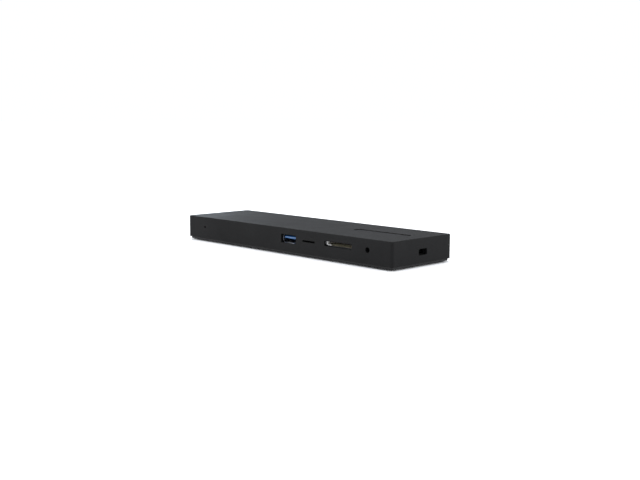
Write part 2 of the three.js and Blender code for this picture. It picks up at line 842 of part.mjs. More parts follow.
// ---------------------------------------------------------------- lock bracket
{
  // An L of 1.5 mm steel plate behind the right wall: the lock's head turns behind it.
  const plate = cut(
    box(101.3, 102.8, -9.1, 9.2, 2.8, 15.2),
    alongX(roundRect(7.2, 3.2, 0.8, LOCK.y, LOCK.z), 99, 104, 2),
  );
  const foot = box(92, 102, -8.6, 1.0, 2.8, 4.2);
  dock.add(mesh("lock_slot_bracket", join(plate, foot), M.steel()));
}

export default dock;
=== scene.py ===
import json
import math

import bmesh
import bpy
import numpy as np
from mathutils import Matrix, Vector


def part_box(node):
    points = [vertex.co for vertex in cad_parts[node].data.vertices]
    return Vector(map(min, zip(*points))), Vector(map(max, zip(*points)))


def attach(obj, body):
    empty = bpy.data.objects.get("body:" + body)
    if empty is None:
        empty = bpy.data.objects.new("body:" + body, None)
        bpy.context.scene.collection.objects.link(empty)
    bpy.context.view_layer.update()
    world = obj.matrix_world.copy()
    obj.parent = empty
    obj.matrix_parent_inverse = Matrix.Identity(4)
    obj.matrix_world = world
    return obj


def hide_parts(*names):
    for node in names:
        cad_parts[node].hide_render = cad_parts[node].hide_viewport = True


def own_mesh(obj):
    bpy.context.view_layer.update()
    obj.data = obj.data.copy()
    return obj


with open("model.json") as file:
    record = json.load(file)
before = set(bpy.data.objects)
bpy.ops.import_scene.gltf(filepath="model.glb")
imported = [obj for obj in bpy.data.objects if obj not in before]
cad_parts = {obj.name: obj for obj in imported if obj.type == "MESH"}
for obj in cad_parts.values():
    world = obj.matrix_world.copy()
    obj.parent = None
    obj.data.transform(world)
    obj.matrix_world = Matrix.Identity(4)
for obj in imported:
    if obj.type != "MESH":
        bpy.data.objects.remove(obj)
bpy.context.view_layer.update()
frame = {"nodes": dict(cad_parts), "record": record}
NODES = frame["nodes"]
MM = 0.001


# ------------------------------------------------------------------ camera
def make_camera():
    yaw, pitch, roll = math.radians(45.50), math.radians(7.77), math.radians(0.21)
    cy, sy, cp, sp = math.cos(yaw), math.sin(yaw), math.cos(pitch), math.sin(pitch)
    fwd = Vector((-sy * cp, cy * cp, -sp))
    right = Vector((cy, sy, 0))
    up = right.cross(fwd)
    cr, sr = math.cos(roll), math.sin(roll)
    r2 = cr * right + sr * up
    u2 = -sr * right + cr * up
    data = bpy.data.cameras.new("camera")
    data.sensor_fit = "HORIZONTAL"
    data.sensor_width = 36.0
    data.lens = 36.0 * 897.0 / 640.0
    data.clip_start, data.clip_end = 0.01, 50.0
    cam = bpy.data.objects.new("camera", data)
    m = Matrix((r2, u2, -fwd)).transposed().to_4x4()
    m.translation = Vector((0.46443, -0.44542, 0.09467))
    cam.matrix_world = m
    bpy.context.scene.collection.objects.link(cam)
    bpy.context.scene.camera = cam


make_camera()


# ------------------------------------------------------------------ node helpers
class Mat:
    """A material under construction: a Principled shader and what feeds it."""

    def __init__(self, name, color, rough, metal=0.0, spec=0.5, **sockets):
        self.m = bpy.data.materials.new(name)
        self.m.use_nodes = True
        self.nt = self.m.node_tree
        self.nt.nodes.clear()
        self.out = self.node("ShaderNodeOutputMaterial")
        self.b = self.node("ShaderNodeBsdfPrincipled")
        self.link(self.b.outputs[0], self.out.inputs["Surface"])
        self.color, self.rough = color, rough
        self.b.inputs["Base Color"].default_value = (*color, 1)
        self.b.inputs["Roughness"].default_value = rough
        self.b.inputs["Metallic"].default_value = metal
        self.b.inputs["Specular IOR Level"].default_value = spec
        for k, v in sockets.items():
            self.b.inputs[k.replace("_", " ")].default_value = v
        self.co = self.node("ShaderNodeTexCoord").outputs["Object"]
        self.height = None

    def node(self, kind, **props):
        n = self.nt.nodes.new(kind)
        for k, v in props.items():
            setattr(n, k, v)
        return n

    def link(self, a, b):
        self.nt.links.new(a, b)

    def stretch(self, x, y, z, rot=(0, 0, 0)):
        n = self.node("ShaderNodeMapping")
        n.inputs["Scale"].default_value = (x, y, z)
        n.inputs["Rotation"].default_value = rot
        self.link(self.co, n.inputs["Vector"])
        return n.outputs[0]

    def noise(self, scale, detail=3.0, rough=0.5, vec=None, distortion=0.0):
        n = self.node("ShaderNodeTexNoise")
        n.inputs["Scale"].default_value = scale
        n.inputs["Detail"].default_value = detail
        n.inputs["Roughness"].default_value = rough
        n.inputs["Distortion"].default_value = distortion
        self.link(self.co if vec is None else vec, n.inputs["Vector"])
        return n.outputs["Fac"]

    def cells(self, scale, feature="F1", vec=None, out="Distance", randomness=1.0):
        n = self.node("ShaderNodeTexVoronoi", feature=feature)
        n.inputs["Scale"].default_value = scale
        n.inputs["Randomness"].default_value = randomness
        self.link(self.co if vec is None else vec, n.inputs["Vector"])
        return n.outputs[out]

    def ramp(self, fac, stops):
        n = self.node("ShaderNodeValToRGB")
        while len(n.color_ramp.elements) < len(stops):
            n.color_ramp.elements.new(0.5)
        for e, (p, c) in zip(n.color_ramp.elements, stops):
            e.position = p
            e.color = (c, c, c, 1) if isinstance(c, (int, float)) else (*c, 1)
        self.link(fac, n.inputs["Fac"])
        return n.outputs["Color"]

    def span(self, fac, lo, hi, a=0.0, b=1.0):
        n = self.node("ShaderNodeMapRange")
        for k, v in (("From Min", a), ("From Max", b), ("To Min", lo), ("To Max", hi)):
            n.inputs[k].default_value = v
        self.link(fac, n.inputs["Value"])
        return n.outputs[0]

    def math(self, op, a, b=None, clamp=False):
        n = self.node("ShaderNodeMath", operation=op, use_clamp=clamp)
        for i, v in enumerate((a, b)):
            if v is None:
                continue
            if isinstance(v, (int, float)):
                n.inputs[i].default_value = v
            else:
                self.link(v, n.inputs[i])
        return n.outputs[0]

    def mix(self, fac, a, b, blend="MIX"):
        n = self.node("ShaderNodeMix", data_type="RGBA", blend_type=blend)
        for i, v in ((0, fac), (6, a), (7, b)):
            if isinstance(v, (int, float)):
                n.inputs[i].default_value = v if i == 0 else (v, v, v, 1)
            elif isinstance(v, tuple):
                n.inputs[i].default_value = (*v, 1)
            else:
                self.link(v, n.inputs[i])
        return n.outputs[2]

    def set_color(self, c):
        self.link(c, self.b.inputs["Base Color"])

    def set_rough(self, r):
        self.link(r, self.b.inputs["Roughness"])

    def bump(self, height, distance, strength=1.0):
        n = self.node("ShaderNodeBump")
        n.inputs["Distance"].default_value = distance
        n.inputs["Strength"].default_value = strength
        self.link(height, n.inputs["Height"])
        if self.height is not None:
            self.link(self.height, n.inputs["Normal"])
        self.height = n.outputs[0]
        self.link(self.height, self.b.inputs["Normal"])

    def edges(self, radius, gain=2.5, samples=4):
        """0 on flat ground, 1 on an edge rounder than radius."""
        bev = self.node("ShaderNodeBevel", samples=samples)
        bev.inputs["Radius"].default_value = radius
        geo = self.node("ShaderNodeNewGeometry")
        dot = self.node("ShaderNodeVectorMath", operation="DOT_PRODUCT")
        self.link(bev.outputs[0], dot.inputs[0])
        self.link(geo.outputs["Normal"], dot.inputs[1])
        inv = self.math("SUBTRACT", 1.0, dot.outputs["Value"])
        return self.math("MULTIPLY", inv, gain * 4, clamp=True)


def tint(c, k):
    return tuple(min(1.0, v * k) for v in c)


MATS = {}


def moulded(name, color, rough, grain=4200.0, depth=0.018, spec=0.3, edge_sheen_and_wear=0.0, smudge=0.5):
    """Moulded plastic: fine eroded grain, slow tone drift, handling marks."""
    m = Mat(name, color, rough, spec=spec)
    slow = m.noise(22.0, 4.0, 0.55)
    fine = m.noise(grain * 0.55, 2.0, 0.6)
    col = m.ramp(slow, [(0.28, tint(color, 0.86)), (0.72, tint(color, 1.14))])
    speck = m.ramp(fine, [(0.30, 0.80), (0.70, 1.20)])
    col = m.mix(1.0, col, speck, "MULTIPLY")
    # Lighter on every rounded edge, in noise patches: partly a painted edge highlight, partly edge wear.
    if edge_sheen_and_wear:
        e = m.edges(0.00035)
        patch = m.ramp(m.noise(260.0, 3.0), [(0.42, 0.0), (0.62, 1.0)])
        e2 = m.math("MULTIPLY", e, m.math("ADD", m.math("MULTIPLY", patch, 0.7), 0.3))
        col = m.mix(m.math("MULTIPLY", e2, edge_sheen_and_wear), col, tint(color, 2.6))
    m.set_color(col)
    marks = m.ramp(m.noise(55.0, 5.0, 0.62, distortion=0.6), [(0.40, 0.0), (0.75, 1.0)])
    r = m.span(m.noise(grain * 0.3, 2.0), rough - 0.06, rough + 0.06)
    r = m.math("SUBTRACT", r, m.math("MULTIPLY", marks, 0.10 * smudge))
    m.set_rough(r)
    m.bump(m.cells(grain, "SMOOTH_F1"), depth * MM)
    m.bump(m.noise(grain * 0.35, 3.0, 0.6), depth * 1.3 * MM)
    MATS[name] = m.m
    return m.m


def sheet_metal(name, color, rough, along="y", spec=0.5, scratch=1.0, dull=0.12, metal=1.0):
    """Plated sheet: rolling streaks, handling haze, fine scratches."""
    m = Mat(name, color, rough, metal=metal, spec=spec)
    s = {"x": (60, 900, 900), "y": (900, 60, 900), "z": (900, 900, 60)}[along]
    streak = m.noise(1.0, 4.0, 0.65, vec=m.stretch(*s))
    haze = m.noise(180.0, 4.0, 0.6)
    col = m.ramp(haze, [(0.3, tint(color, 0.78)), (0.7, tint(color, 1.08))])
    col = m.mix(0.35, col, m.ramp(streak, [(0.3, tint(color, 0.75)), (0.7, tint(color, 1.1))]))
    m.set_color(col)
    r = m.span(streak, rough - 0.09 * scratch, rough + 0.12 * scratch, 0.3, 0.7)
    r = m.math("ADD", r, m.math("MULTIPLY", m.ramp(haze, [(0.45, 0.0), (0.8, 1.0)]), dull))
    m.set_rough(r)
    m.bump(streak, 0.004 * MM * scratch)
    m.bump(m.noise(2600.0, 2.0), 0.002 * MM)
    MATS[name] = m.m
    return m.m


HOUSING = moulded("housing_plastic", (0.0084, 0.0084, 0.0086), 0.72, spec=0.092, edge_sheen_and_wear=0.12)
BASE = moulded("base_plastic", (0.0115, 0.0115, 0.012), 0.58, grain=3600.0, spec=0.20, edge_sheen_and_wear=0.10)
INSUL = moulded("insulator_nylon", (0.0085, 0.0085, 0.009), 0.48, grain=5200.0, depth=0.01, spec=0.35, smudge=0.2)
EPOXY = moulded("chip_epoxy", (0.012, 0.012, 0.013), 0.55, grain=6000.0, depth=0.012, spec=0.35, smudge=0.1)
FERRITE = moulded("ferrite", (0.045, 0.045, 0.048), 0.7, grain=3000.0, depth=0.03, spec=0.3, smudge=0.0)
PAD = moulded("thermal_pad_silicone", (0.27, 0.36, 0.46), 0.85, grain=2600.0, depth=0.03, spec=0.3, smudge=0.0)
STEEL = sheet_metal("socket_steel", (0.55, 0.555, 0.57), 0.30)
SHELL = sheet_metal("usb_shell_steel", (0.17, 0.18, 0.205), 0.38)
DEEP = sheet_metal("socket_steel_dull", (0.56, 0.53, 0.48), 0.46, metal=0.7)
# Near-white, mostly diffuse copy of the socket steel, used on the SD cover's rolled rim, springs and tabs: a painted
# highlight that makes the rim read bright.
SD_RIM_HIGHLIGHT_STEEL = sheet_metal("sd_rim_highlight_steel", (0.93, 0.92, 0.89), 0.40, spec=0.9, scratch=0.6, metal=0.25)
NICKEL = sheet_metal("nickel_plate", (0.62, 0.60, 0.56), 0.22, scratch=0.6)
GOLD = sheet_metal("gilt_contact", (0.66, 0.55, 0.34), 0.34, scratch=0.5, dull=0.06)
GILT = sheet_metal("card_contact_gilt", (0.42, 0.38, 0.27), 0.46, scratch=0.5, dull=0.06, metal=0.65)
SPRING = sheet_metal("spring_steel", (0.50, 0.50, 0.52), 0.25, scratch=0.5)
SCREW = sheet_metal("black_oxide", (0.06, 0.06, 0.065), 0.38)
ALU = sheet_metal("rolled_aluminium", (0.72, 0.73, 0.74), 0.38, along="x")


def rubber():
    m = Mat("foot_rubber", (0.011, 0.011, 0.0115), 0.85, spec=0.25)
    dust = m.ramp(m.noise(900.0, 6.0, 0.75), [(0.55, 0.0), (0.78, 1.0)])
    m.set_color(m.mix(m.math("MULTIPLY", dust, 0.35), (0.011, 0.011, 0.0115), (0.06, 0.058, 0.055)))
    m.set_rough(m.span(m.noise(400.0, 3.0), 0.78, 0.95))
    m.bump(m.noise(1500.0, 5.0, 0.7), 0.03 * MM)
    return m.m


def nameplate():
    c = (0.0055, 0.0055, 0.006)
    m = Mat("nameplate_satin", c, 0.62, spec=0.07)
    lines = m.noise(1.0, 3.0, 0.6, vec=m.stretch(40, 2600, 900))
    m.set_color(m.ramp(lines, [(0.3, tint(c, 0.7)), (0.7, tint(c, 1.5))]))
    m.set_rough(m.span(m.noise(70.0, 5.0, 0.6), 0.55, 0.72))
    m.bump(lines, 0.003 * MM)
    return m.m


def matt_black():
    c = (0.0022, 0.0022, 0.0024)
    m = Mat("matt_black_coating", c, 0.75, spec=0.12)
    m.set_color(m.ramp(m.noise(420.0, 4.0), [(0.3, tint(c, 0.75)), (0.7, tint(c, 1.4))]))
    m.set_rough(m.span(m.noise(900.0, 3.0), 0.66, 0.84))
    m.bump(m.noise(2400.0, 3.0), 0.012 * MM)
    return m.m


def label_film():
    c = (0.05, 0.05, 0.052)
    m = Mat("label_film", c, 0.42, spec=0.4)
    m.set_color(m.ramp(m.noise(35.0, 4.0), [(0.3, tint(c, 0.85)), (0.7, tint(c, 1.12))]))
    m.set_rough(m.span(m.noise(120.0, 4.0), 0.34, 0.5))
    m.bump(m.noise(160.0, 2.0), 0.02 * MM)
    m.bump(m.noise(5000.0, 2.0), 0.004 * MM)
    return m.m


def blue_nylon():
    c = (0.014, 0.080, 0.215)
    m = Mat("blue_nylon", c, 0.34, spec=0.60)
    m.set_color(m.ramp(m.noise(240.0, 4.0), [(0.3, tint(c, 0.82)), (0.7, tint(c, 1.15))]))
    m.set_rough(m.span(m.noise(600.0, 3.0), 0.28, 0.42))
    m.bump(m.noise(3800.0, 2.0), 0.008 * MM)
    return m.m


def circuit_board():
    c = (0.0022, 0.0042, 0.0034)
    m = Mat("circuit_board", c, 0.32, spec=0.5)
    # Runs of copper under the resist: two grids of long lines, broken into groups.
    def runs(width, height, scale, seed, rot):
        n = m.node("ShaderNodeTexBrick", offset=0.37, offset_frequency=3)
        n.inputs["Scale"].default_value = scale
        n.inputs["Mortar Size"].default_value = 0.045
        n.inputs["Mortar Smooth"].default_value = 0.2
        n.inputs["Brick Width"].default_value = width
        n.inputs["Row Height"].default_value = height
        m.link(m.stretch(1, 1, 1, rot), n.inputs["Vector"])
        gate = m.ramp(m.noise(seed, 1.0), [(0.47, 0.0), (0.50, 1.0)])
        return m.math("MULTIPLY", n.outputs["Fac"], gate)

    tracks = m.math("MAXIMUM", runs(9.0, 0.36, 1400.0, 61.0, (0, 0, 0)), runs(7.0, 0.36, 1400.0, 83.0, (0, 0, math.pi / 2)))
    pads = m.ramp(m.cells(420.0, "F1", randomness=0.6), [(0.09, 1.0), (0.12, 0.0)])
    col = m.mix(tracks, tint(c, 0.85), tint(c, 1.9))
    col = m.mix(m.math("MULTIPLY", pads, 0.8), col, (0.34, 0.33, 0.30))
    m.set_color(col)
    m.set_rough(m.span(m.noise(300.0, 3.0), 0.25, 0.42))
    m.bump(m.math("MAXIMUM", tracks, pads), 0.03 * MM)
    m.bump(m.noise(1800.0, 2.0), 0.01 * MM)
    return m.m


def light_pipe():
    m = Mat("smoked_acrylic", (0.006, 0.006, 0.007), 0.16, spec=0.3)
    m.set_color(m.ramp(m.noise(1500.0, 2.0), [(0.3, (0.005, 0.005, 0.006)), (0.7, (0.008, 0.008, 0.0095))]))
    m.set_rough(m.span(m.noise(2200.0, 3.0), 0.10, 0.24))
    m.bump(m.noise(2500.0, 2.0), 0.004 * MM)
    return m.m


def led_resin():
    c = (0.72, 0.68, 0.48)
    m = Mat("led_resin", c, 0.4, spec=0.5)
    m.set_color(m.ramp(m.noise(1400.0, 2.0), [(0.35, tint(c, 0.85)), (0.65, tint(c, 1.1))]))
    m.set_rough(m.span(m.noise(2000.0, 2.0), 0.3, 0.5))
    m.bump(m.noise(3000.0, 2.0), 0.006 * MM)
    return m.m


RUBBER, PLATE, FILM, BLUE = rubber(), nameplate(), label_film(), blue_nylon()
MATT = matt_black()
PCB, PIPE, LED = circuit_board(), light_pipe(), led_resin()

BY_SLOT = {
    "housing": HOUSING,
    "base": BASE,
    "rubber": RUBBER,
    "nameplate": PLATE,
    "label": FILM,
    "screw_steel": SCREW,
    "circuit_board": PCB,
    "chip": EPOXY,
    "ferrite": FERRITE,
    "aluminium": ALU,
    "thermal_pad": PAD,
    "socket_steel": STEEL,
    "nickel": NICKEL,
    "gold_contact": GOLD,
    "usb_blue": BLUE,
    "insulator": INSUL,
    "light_pipe": PIPE,
    "led": LED,
    "bracket_steel": MATT,
}
SLOT_OF = {s["node"]: s["material_slot"] for s in frame["record"]["subparts"]}
for name, obj in NODES.items():
    obj.data.materials.clear()
    obj.data.materials.append(BY_SLOT[SLOT_OF[name]])
    for p in obj.data.polygons:
        p.material_index = 0


# ------------------------------------------------------------------ modifiers on the CAD nodes
def refine(name, width, segments=2, angle=32.0):
    o = NODES[name]
    w = o.modifiers.new("weld", "WELD")
    w.merge_threshold = 1e-6
    d = o.modifiers.new("planar", "DECIMATE")
    d.decimate_type = "DISSOLVE"
    d.angle_limit = math.radians(0.6)
    b = o.modifiers.new("bevel", "BEVEL")
    b.width = width * MM
    b.segments = segments
    b.limit_method = "ANGLE"
    b.angle_limit = math.radians(angle)
    b.harden_normals = False
    b.use_clamp_overlap = True
    n = o.modifiers.new("normals", "WEIGHTED_NORMAL")
    n.keep_sharp = True
    for p in o.data.polygons:
        p.use_smooth = True


for name in NODES:
    if name in ("sd_eject_spring", "microsd_eject_spring"):
        continue
    width = {
        "upper_housing": 0.14,
        "base_cover": 0.12,
        "nameplate": 0.06,
        "main_circuit_board": 0.05,
        "heat_spreader": 0.12,
        "blank_label": 0.03,
    }.get(name, 0.06)
    refine(name, width)


# ------------------------------------------------------------------ mesh helpers (millimetres in, metres out)
class Piece:
    """Closed solids and folded sheets gathered into one named object."""

    def __init__(self, name, place=None):
        self.name = name
        self.place = place or (lambda x, y, z: (x, y, z))
        self.v, self.f, self.mat = [], [], []

    def add(self, verts, faces, mat=0):
        k = len(self.v)
        self.v += [self.place(*p) for p in verts]
        self.f += [tuple(k + i for i in f) for f in faces]
        self.mat += mat if isinstance(mat, list) else [mat] * len(faces)
        return self

    def rings(self, rings, cap=True, close=False, mat=0):
        n = len(rings[0])
        verts = [p for r in rings for p in r]
        faces = []
        last = len(rings) if close else len(rings) - 1
        for j in range(last):
            a, b = j * n, ((j + 1) % len(rings)) * n
            faces += [(a + i, a + (i + 1) % n, b + (i + 1) % n, b + i) for i in range(n)]
        if cap and not close:
            faces += [tuple(range(n - 1, -1, -1)), tuple((len(rings) - 1) * n + i for i in range(n))]
        return self.add(verts, faces, mat)

    def prism(self, outline, lo, hi, axis="y", mat=0):
        put = {
            "x": lambda a, b, d: (d, a, b),
            "y": lambda a, b, d: (a, d, b),
            "z": lambda a, b, d: (a, b, d),
        }[axis]
        return self.rings([[put(a, b, d) for a, b in outline] for d in (lo, hi)], mat=mat)

    def block(self, x0, x1, y0, y1, z0, z1, c=0.0, mat=0):
        """A box whose upper and lower rims are chamfered by c."""
        ring = lambda d, z: [(x0 + d, y0 + d, z), (x1 - d, y0 + d, z), (x1 - d, y1 - d, z), (x0 + d, y1 - d, z)]
        if c:
            return self.rings([ring(c, z0), ring(0, z0 + c), ring(0, z1 - c), ring(c, z1)], mat=mat)
        return self.rings([ring(0, z0), ring(0, z1)], mat=mat)

    def lathe(self, profile, origin, axis="z", n=24, mat=0):
        ox, oy, oz = origin
        rings = []
        for r, h in profile:
            ring = []
            for i in range(n):
                a = 2 * math.pi * i / n
                u, w = max(r, 1e-3) * math.cos(a), max(r, 1e-3) * math.sin(a)
                ring.append(
                    {"z": (ox + u, oy + w, oz + h), "y": (ox + u, oy + h, oz - w), "x": (ox + h, oy + u, oz + w)}[axis]
                )
            rings.append(ring)
        return self.rings(rings, mat=mat)

    def strip(self, x0, x1, path, t, taper=0.0, mat=0):
        """A flat spring of width x0..x1 and thickness t, bent along a path of (y, z) points."""
        rings = []
        for i, (y, z) in enumerate(path):
            ay, az = path[max(i - 1, 0)]
            by, bz = path[min(i + 1, len(path) - 1)]
            l = math.hypot(by - ay, bz - az) or 1.0
            ny, nz = -(bz - az) / l * t / 2, (by - ay) / l * t / 2
            k = taper * (i / (len(path) - 1)) * (x1 - x0) / 2
            rings.append(
                [
                    (x0 + k, y - ny, z - nz),
                    (x1 - k, y - ny, z - nz),
                    (x1 - k, y + ny, z + nz),
                    (x0 + k, y + ny, z + nz),
                ]
            )
        return self.rings(rings, mat=mat)

    def wire(self, path, r, n=8, mat=0):
        """A round wire along a path of points; ends closed."""
        pts = [Vector(p) for p in path]
        rings, side = [], None
        for i, p in enumerate(pts):
            t = (pts[min(i + 1, len(pts) - 1)] - pts[max(i - 1, 0)]).normalized()
            if side is None:
                side = t.cross(Vector((0, 0, 1)))
                if side.length < 1e-3:
                    side = t.cross(Vector((1, 0, 0)))
            side = (side - t * side.dot(t)).normalized()
            up = t.cross(side)
            rings.append(
                [
                    tuple(p + side * r * math.cos(2 * math.pi * k / n) + up * r * math.sin(2 * math.pi * k / n))
                    for k in range(n)
                ]
            )
        return self.rings(rings, mat=mat)

    def sheet(self, outline, ys, closed=True, skip=None, shape=None, mat=0):
        """A folded sheet: an outline of (x, z) points carried along y, with cells left out for windows."""
        n = len(outline)
        verts, faces, mats = [], [], []
        for y in ys:
            for x, z in outline:
                verts.append(shape(x, y, z) if shape else (x, y, z))
        m = n if closed else n - 1
        for j in range(len(ys) - 1):
            for i in range(m):
                k = (i + 1) % n
                cx, cz = (outline[i][0] + outline[k][0]) / 2, (outline[i][1] + outline[k][1]) / 2
                if skip and skip(cx, (ys[j] + ys[j + 1]) / 2, cz):
                    continue
                faces.append((j * n + i, j * n + k, (j + 1) * n + k, (j + 1) * n + i))
                mats.append(mat(cx, (ys[j] + ys[j + 1]) / 2, cz) if callable(mat) else mat)
        return self.add(verts, faces, mats)

    def make(self, mats, slot, body="dock", replaces=(), thick=0.0, bevel=0.0, segments=2, angle=35, smooth=True):
        bm = bmesh.new()
        vs = [bm.verts.new((x * MM, y * MM, z * MM)) for x, y, z in self.v]
        for f, mt in zip(self.f, self.mat):
            try:
                face = bm.faces.new([vs[i] for i in f])
                face.material_index = mt
                face.smooth = smooth
            except ValueError:
                pass
        loose = [v for v in bm.verts if not v.link_faces]
        bmesh.ops.delete(bm, geom=loose, context="VERTS")
        bmesh.ops.recalc_face_normals(bm, faces=bm.faces)
        me = bpy.data.meshes.new(self.name)
        bm.to_mesh(me)
        bm.free()
        for m in mats if isinstance(mats, (list, tuple)) else [mats]:
            me.materials.append(m)
        o = bpy.data.objects.new(self.name, me)
        bpy.context.scene.collection.objects.link(o)
        if thick:
            s = o.modifiers.new("gauge", "SOLIDIFY")
            s.thickness = thick * MM
            s.offset = 0.0
            s.use_even_offset = True
        if bevel:
            b = o.modifiers.new("bevel", "BEVEL")
            b.width = bevel * MM
            b.segments = segments
            b.limit_method = "ANGLE"
            b.angle_limit = math.radians(angle)
            b.use_clamp_overlap = True
        if smooth:
            w = o.modifiers.new("normals", "WEIGHTED_NORMAL")
            w.keep_sharp = True
        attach(o, body)
        if replaces:
            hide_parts(*replaces)
        return o


def rounded(hw, hh, r, n=4, xs=(), zs=()):
    """Outline of a rounded rectangle, counter-clockwise, with extra points on its flat sides."""
    pts = []
    xs, zs = sorted(xs), sorted(zs)

    def corner(cx, cz, a0):
        for i in range(n + 1):
            a = math.radians(a0 + 90 * i / n)
            pts.append((cx + r * math.cos(a), cz + r * math.sin(a)))

    pts += [(x, -hh) for x in xs]
    corner(hw - r, -hh + r, -90)
    pts += [(hw, z) for z in zs]
    corner(hw - r, hh - r, 0)
    pts += [(x, hh) for x in reversed(xs)]
    corner(-hw + r, hh - r, 90)
    pts += [(-hw, z) for z in reversed(zs)]
    corner(-hw + r, -hh + r, 180)
    return pts


def keyed(corners, r, n=3):
    """Outline through the given corners, each one rounded by r."""
    pts = []
    m = len(corners)
    for i in range(m):
        p, a, b = Vector(corners[i]), Vector(corners[i - 1]), Vector(corners[(i + 1) % m])
        u, w = (a - p).normalized(), (b - p).normalized()
        half = math.acos(max(-1, min(1, u.dot(w)))) / 2
        d = min(r / math.tan(half), (a - p).length * 0.45, (b - p).length * 0.45)
        s, e = p + u * d, p + w * d
        for k in range(n + 1):
            t = k / n
            q = (1 - t) ** 2 * s + 2 * t * (1 - t) * p + t * t * e
            pts.append((q.x, q.y))
    return pts


def socket_place(node, z_from_node=True):
    """Local frame of a socket: x across the mouth, y into the housing from its mouth, z up."""
    lo, hi = (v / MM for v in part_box(node))
    cx = (lo.x + hi.x) / 2
    cz = (lo.z + hi.z) / 2 if z_from_node else 0.0
    if (lo.y + hi.y) / 2 < 0:
        y0 = lo.y
        return lambda x, y, z: (cx + x, y0 + y, cz + z)
    y0 = hi.y
    return lambda x, y, z: (cx - x, y0 - y, cz + z)


def arc(cy, cz, r, a0, a1, n=4):
    return [
        (cy + r * math.cos(math.radians(a0 + (a1 - a0) * i / n)), cz + r * math.sin(math.radians(a0 + (a1 - a0) * i / n)))
        for i in range(n + 1)
    ]


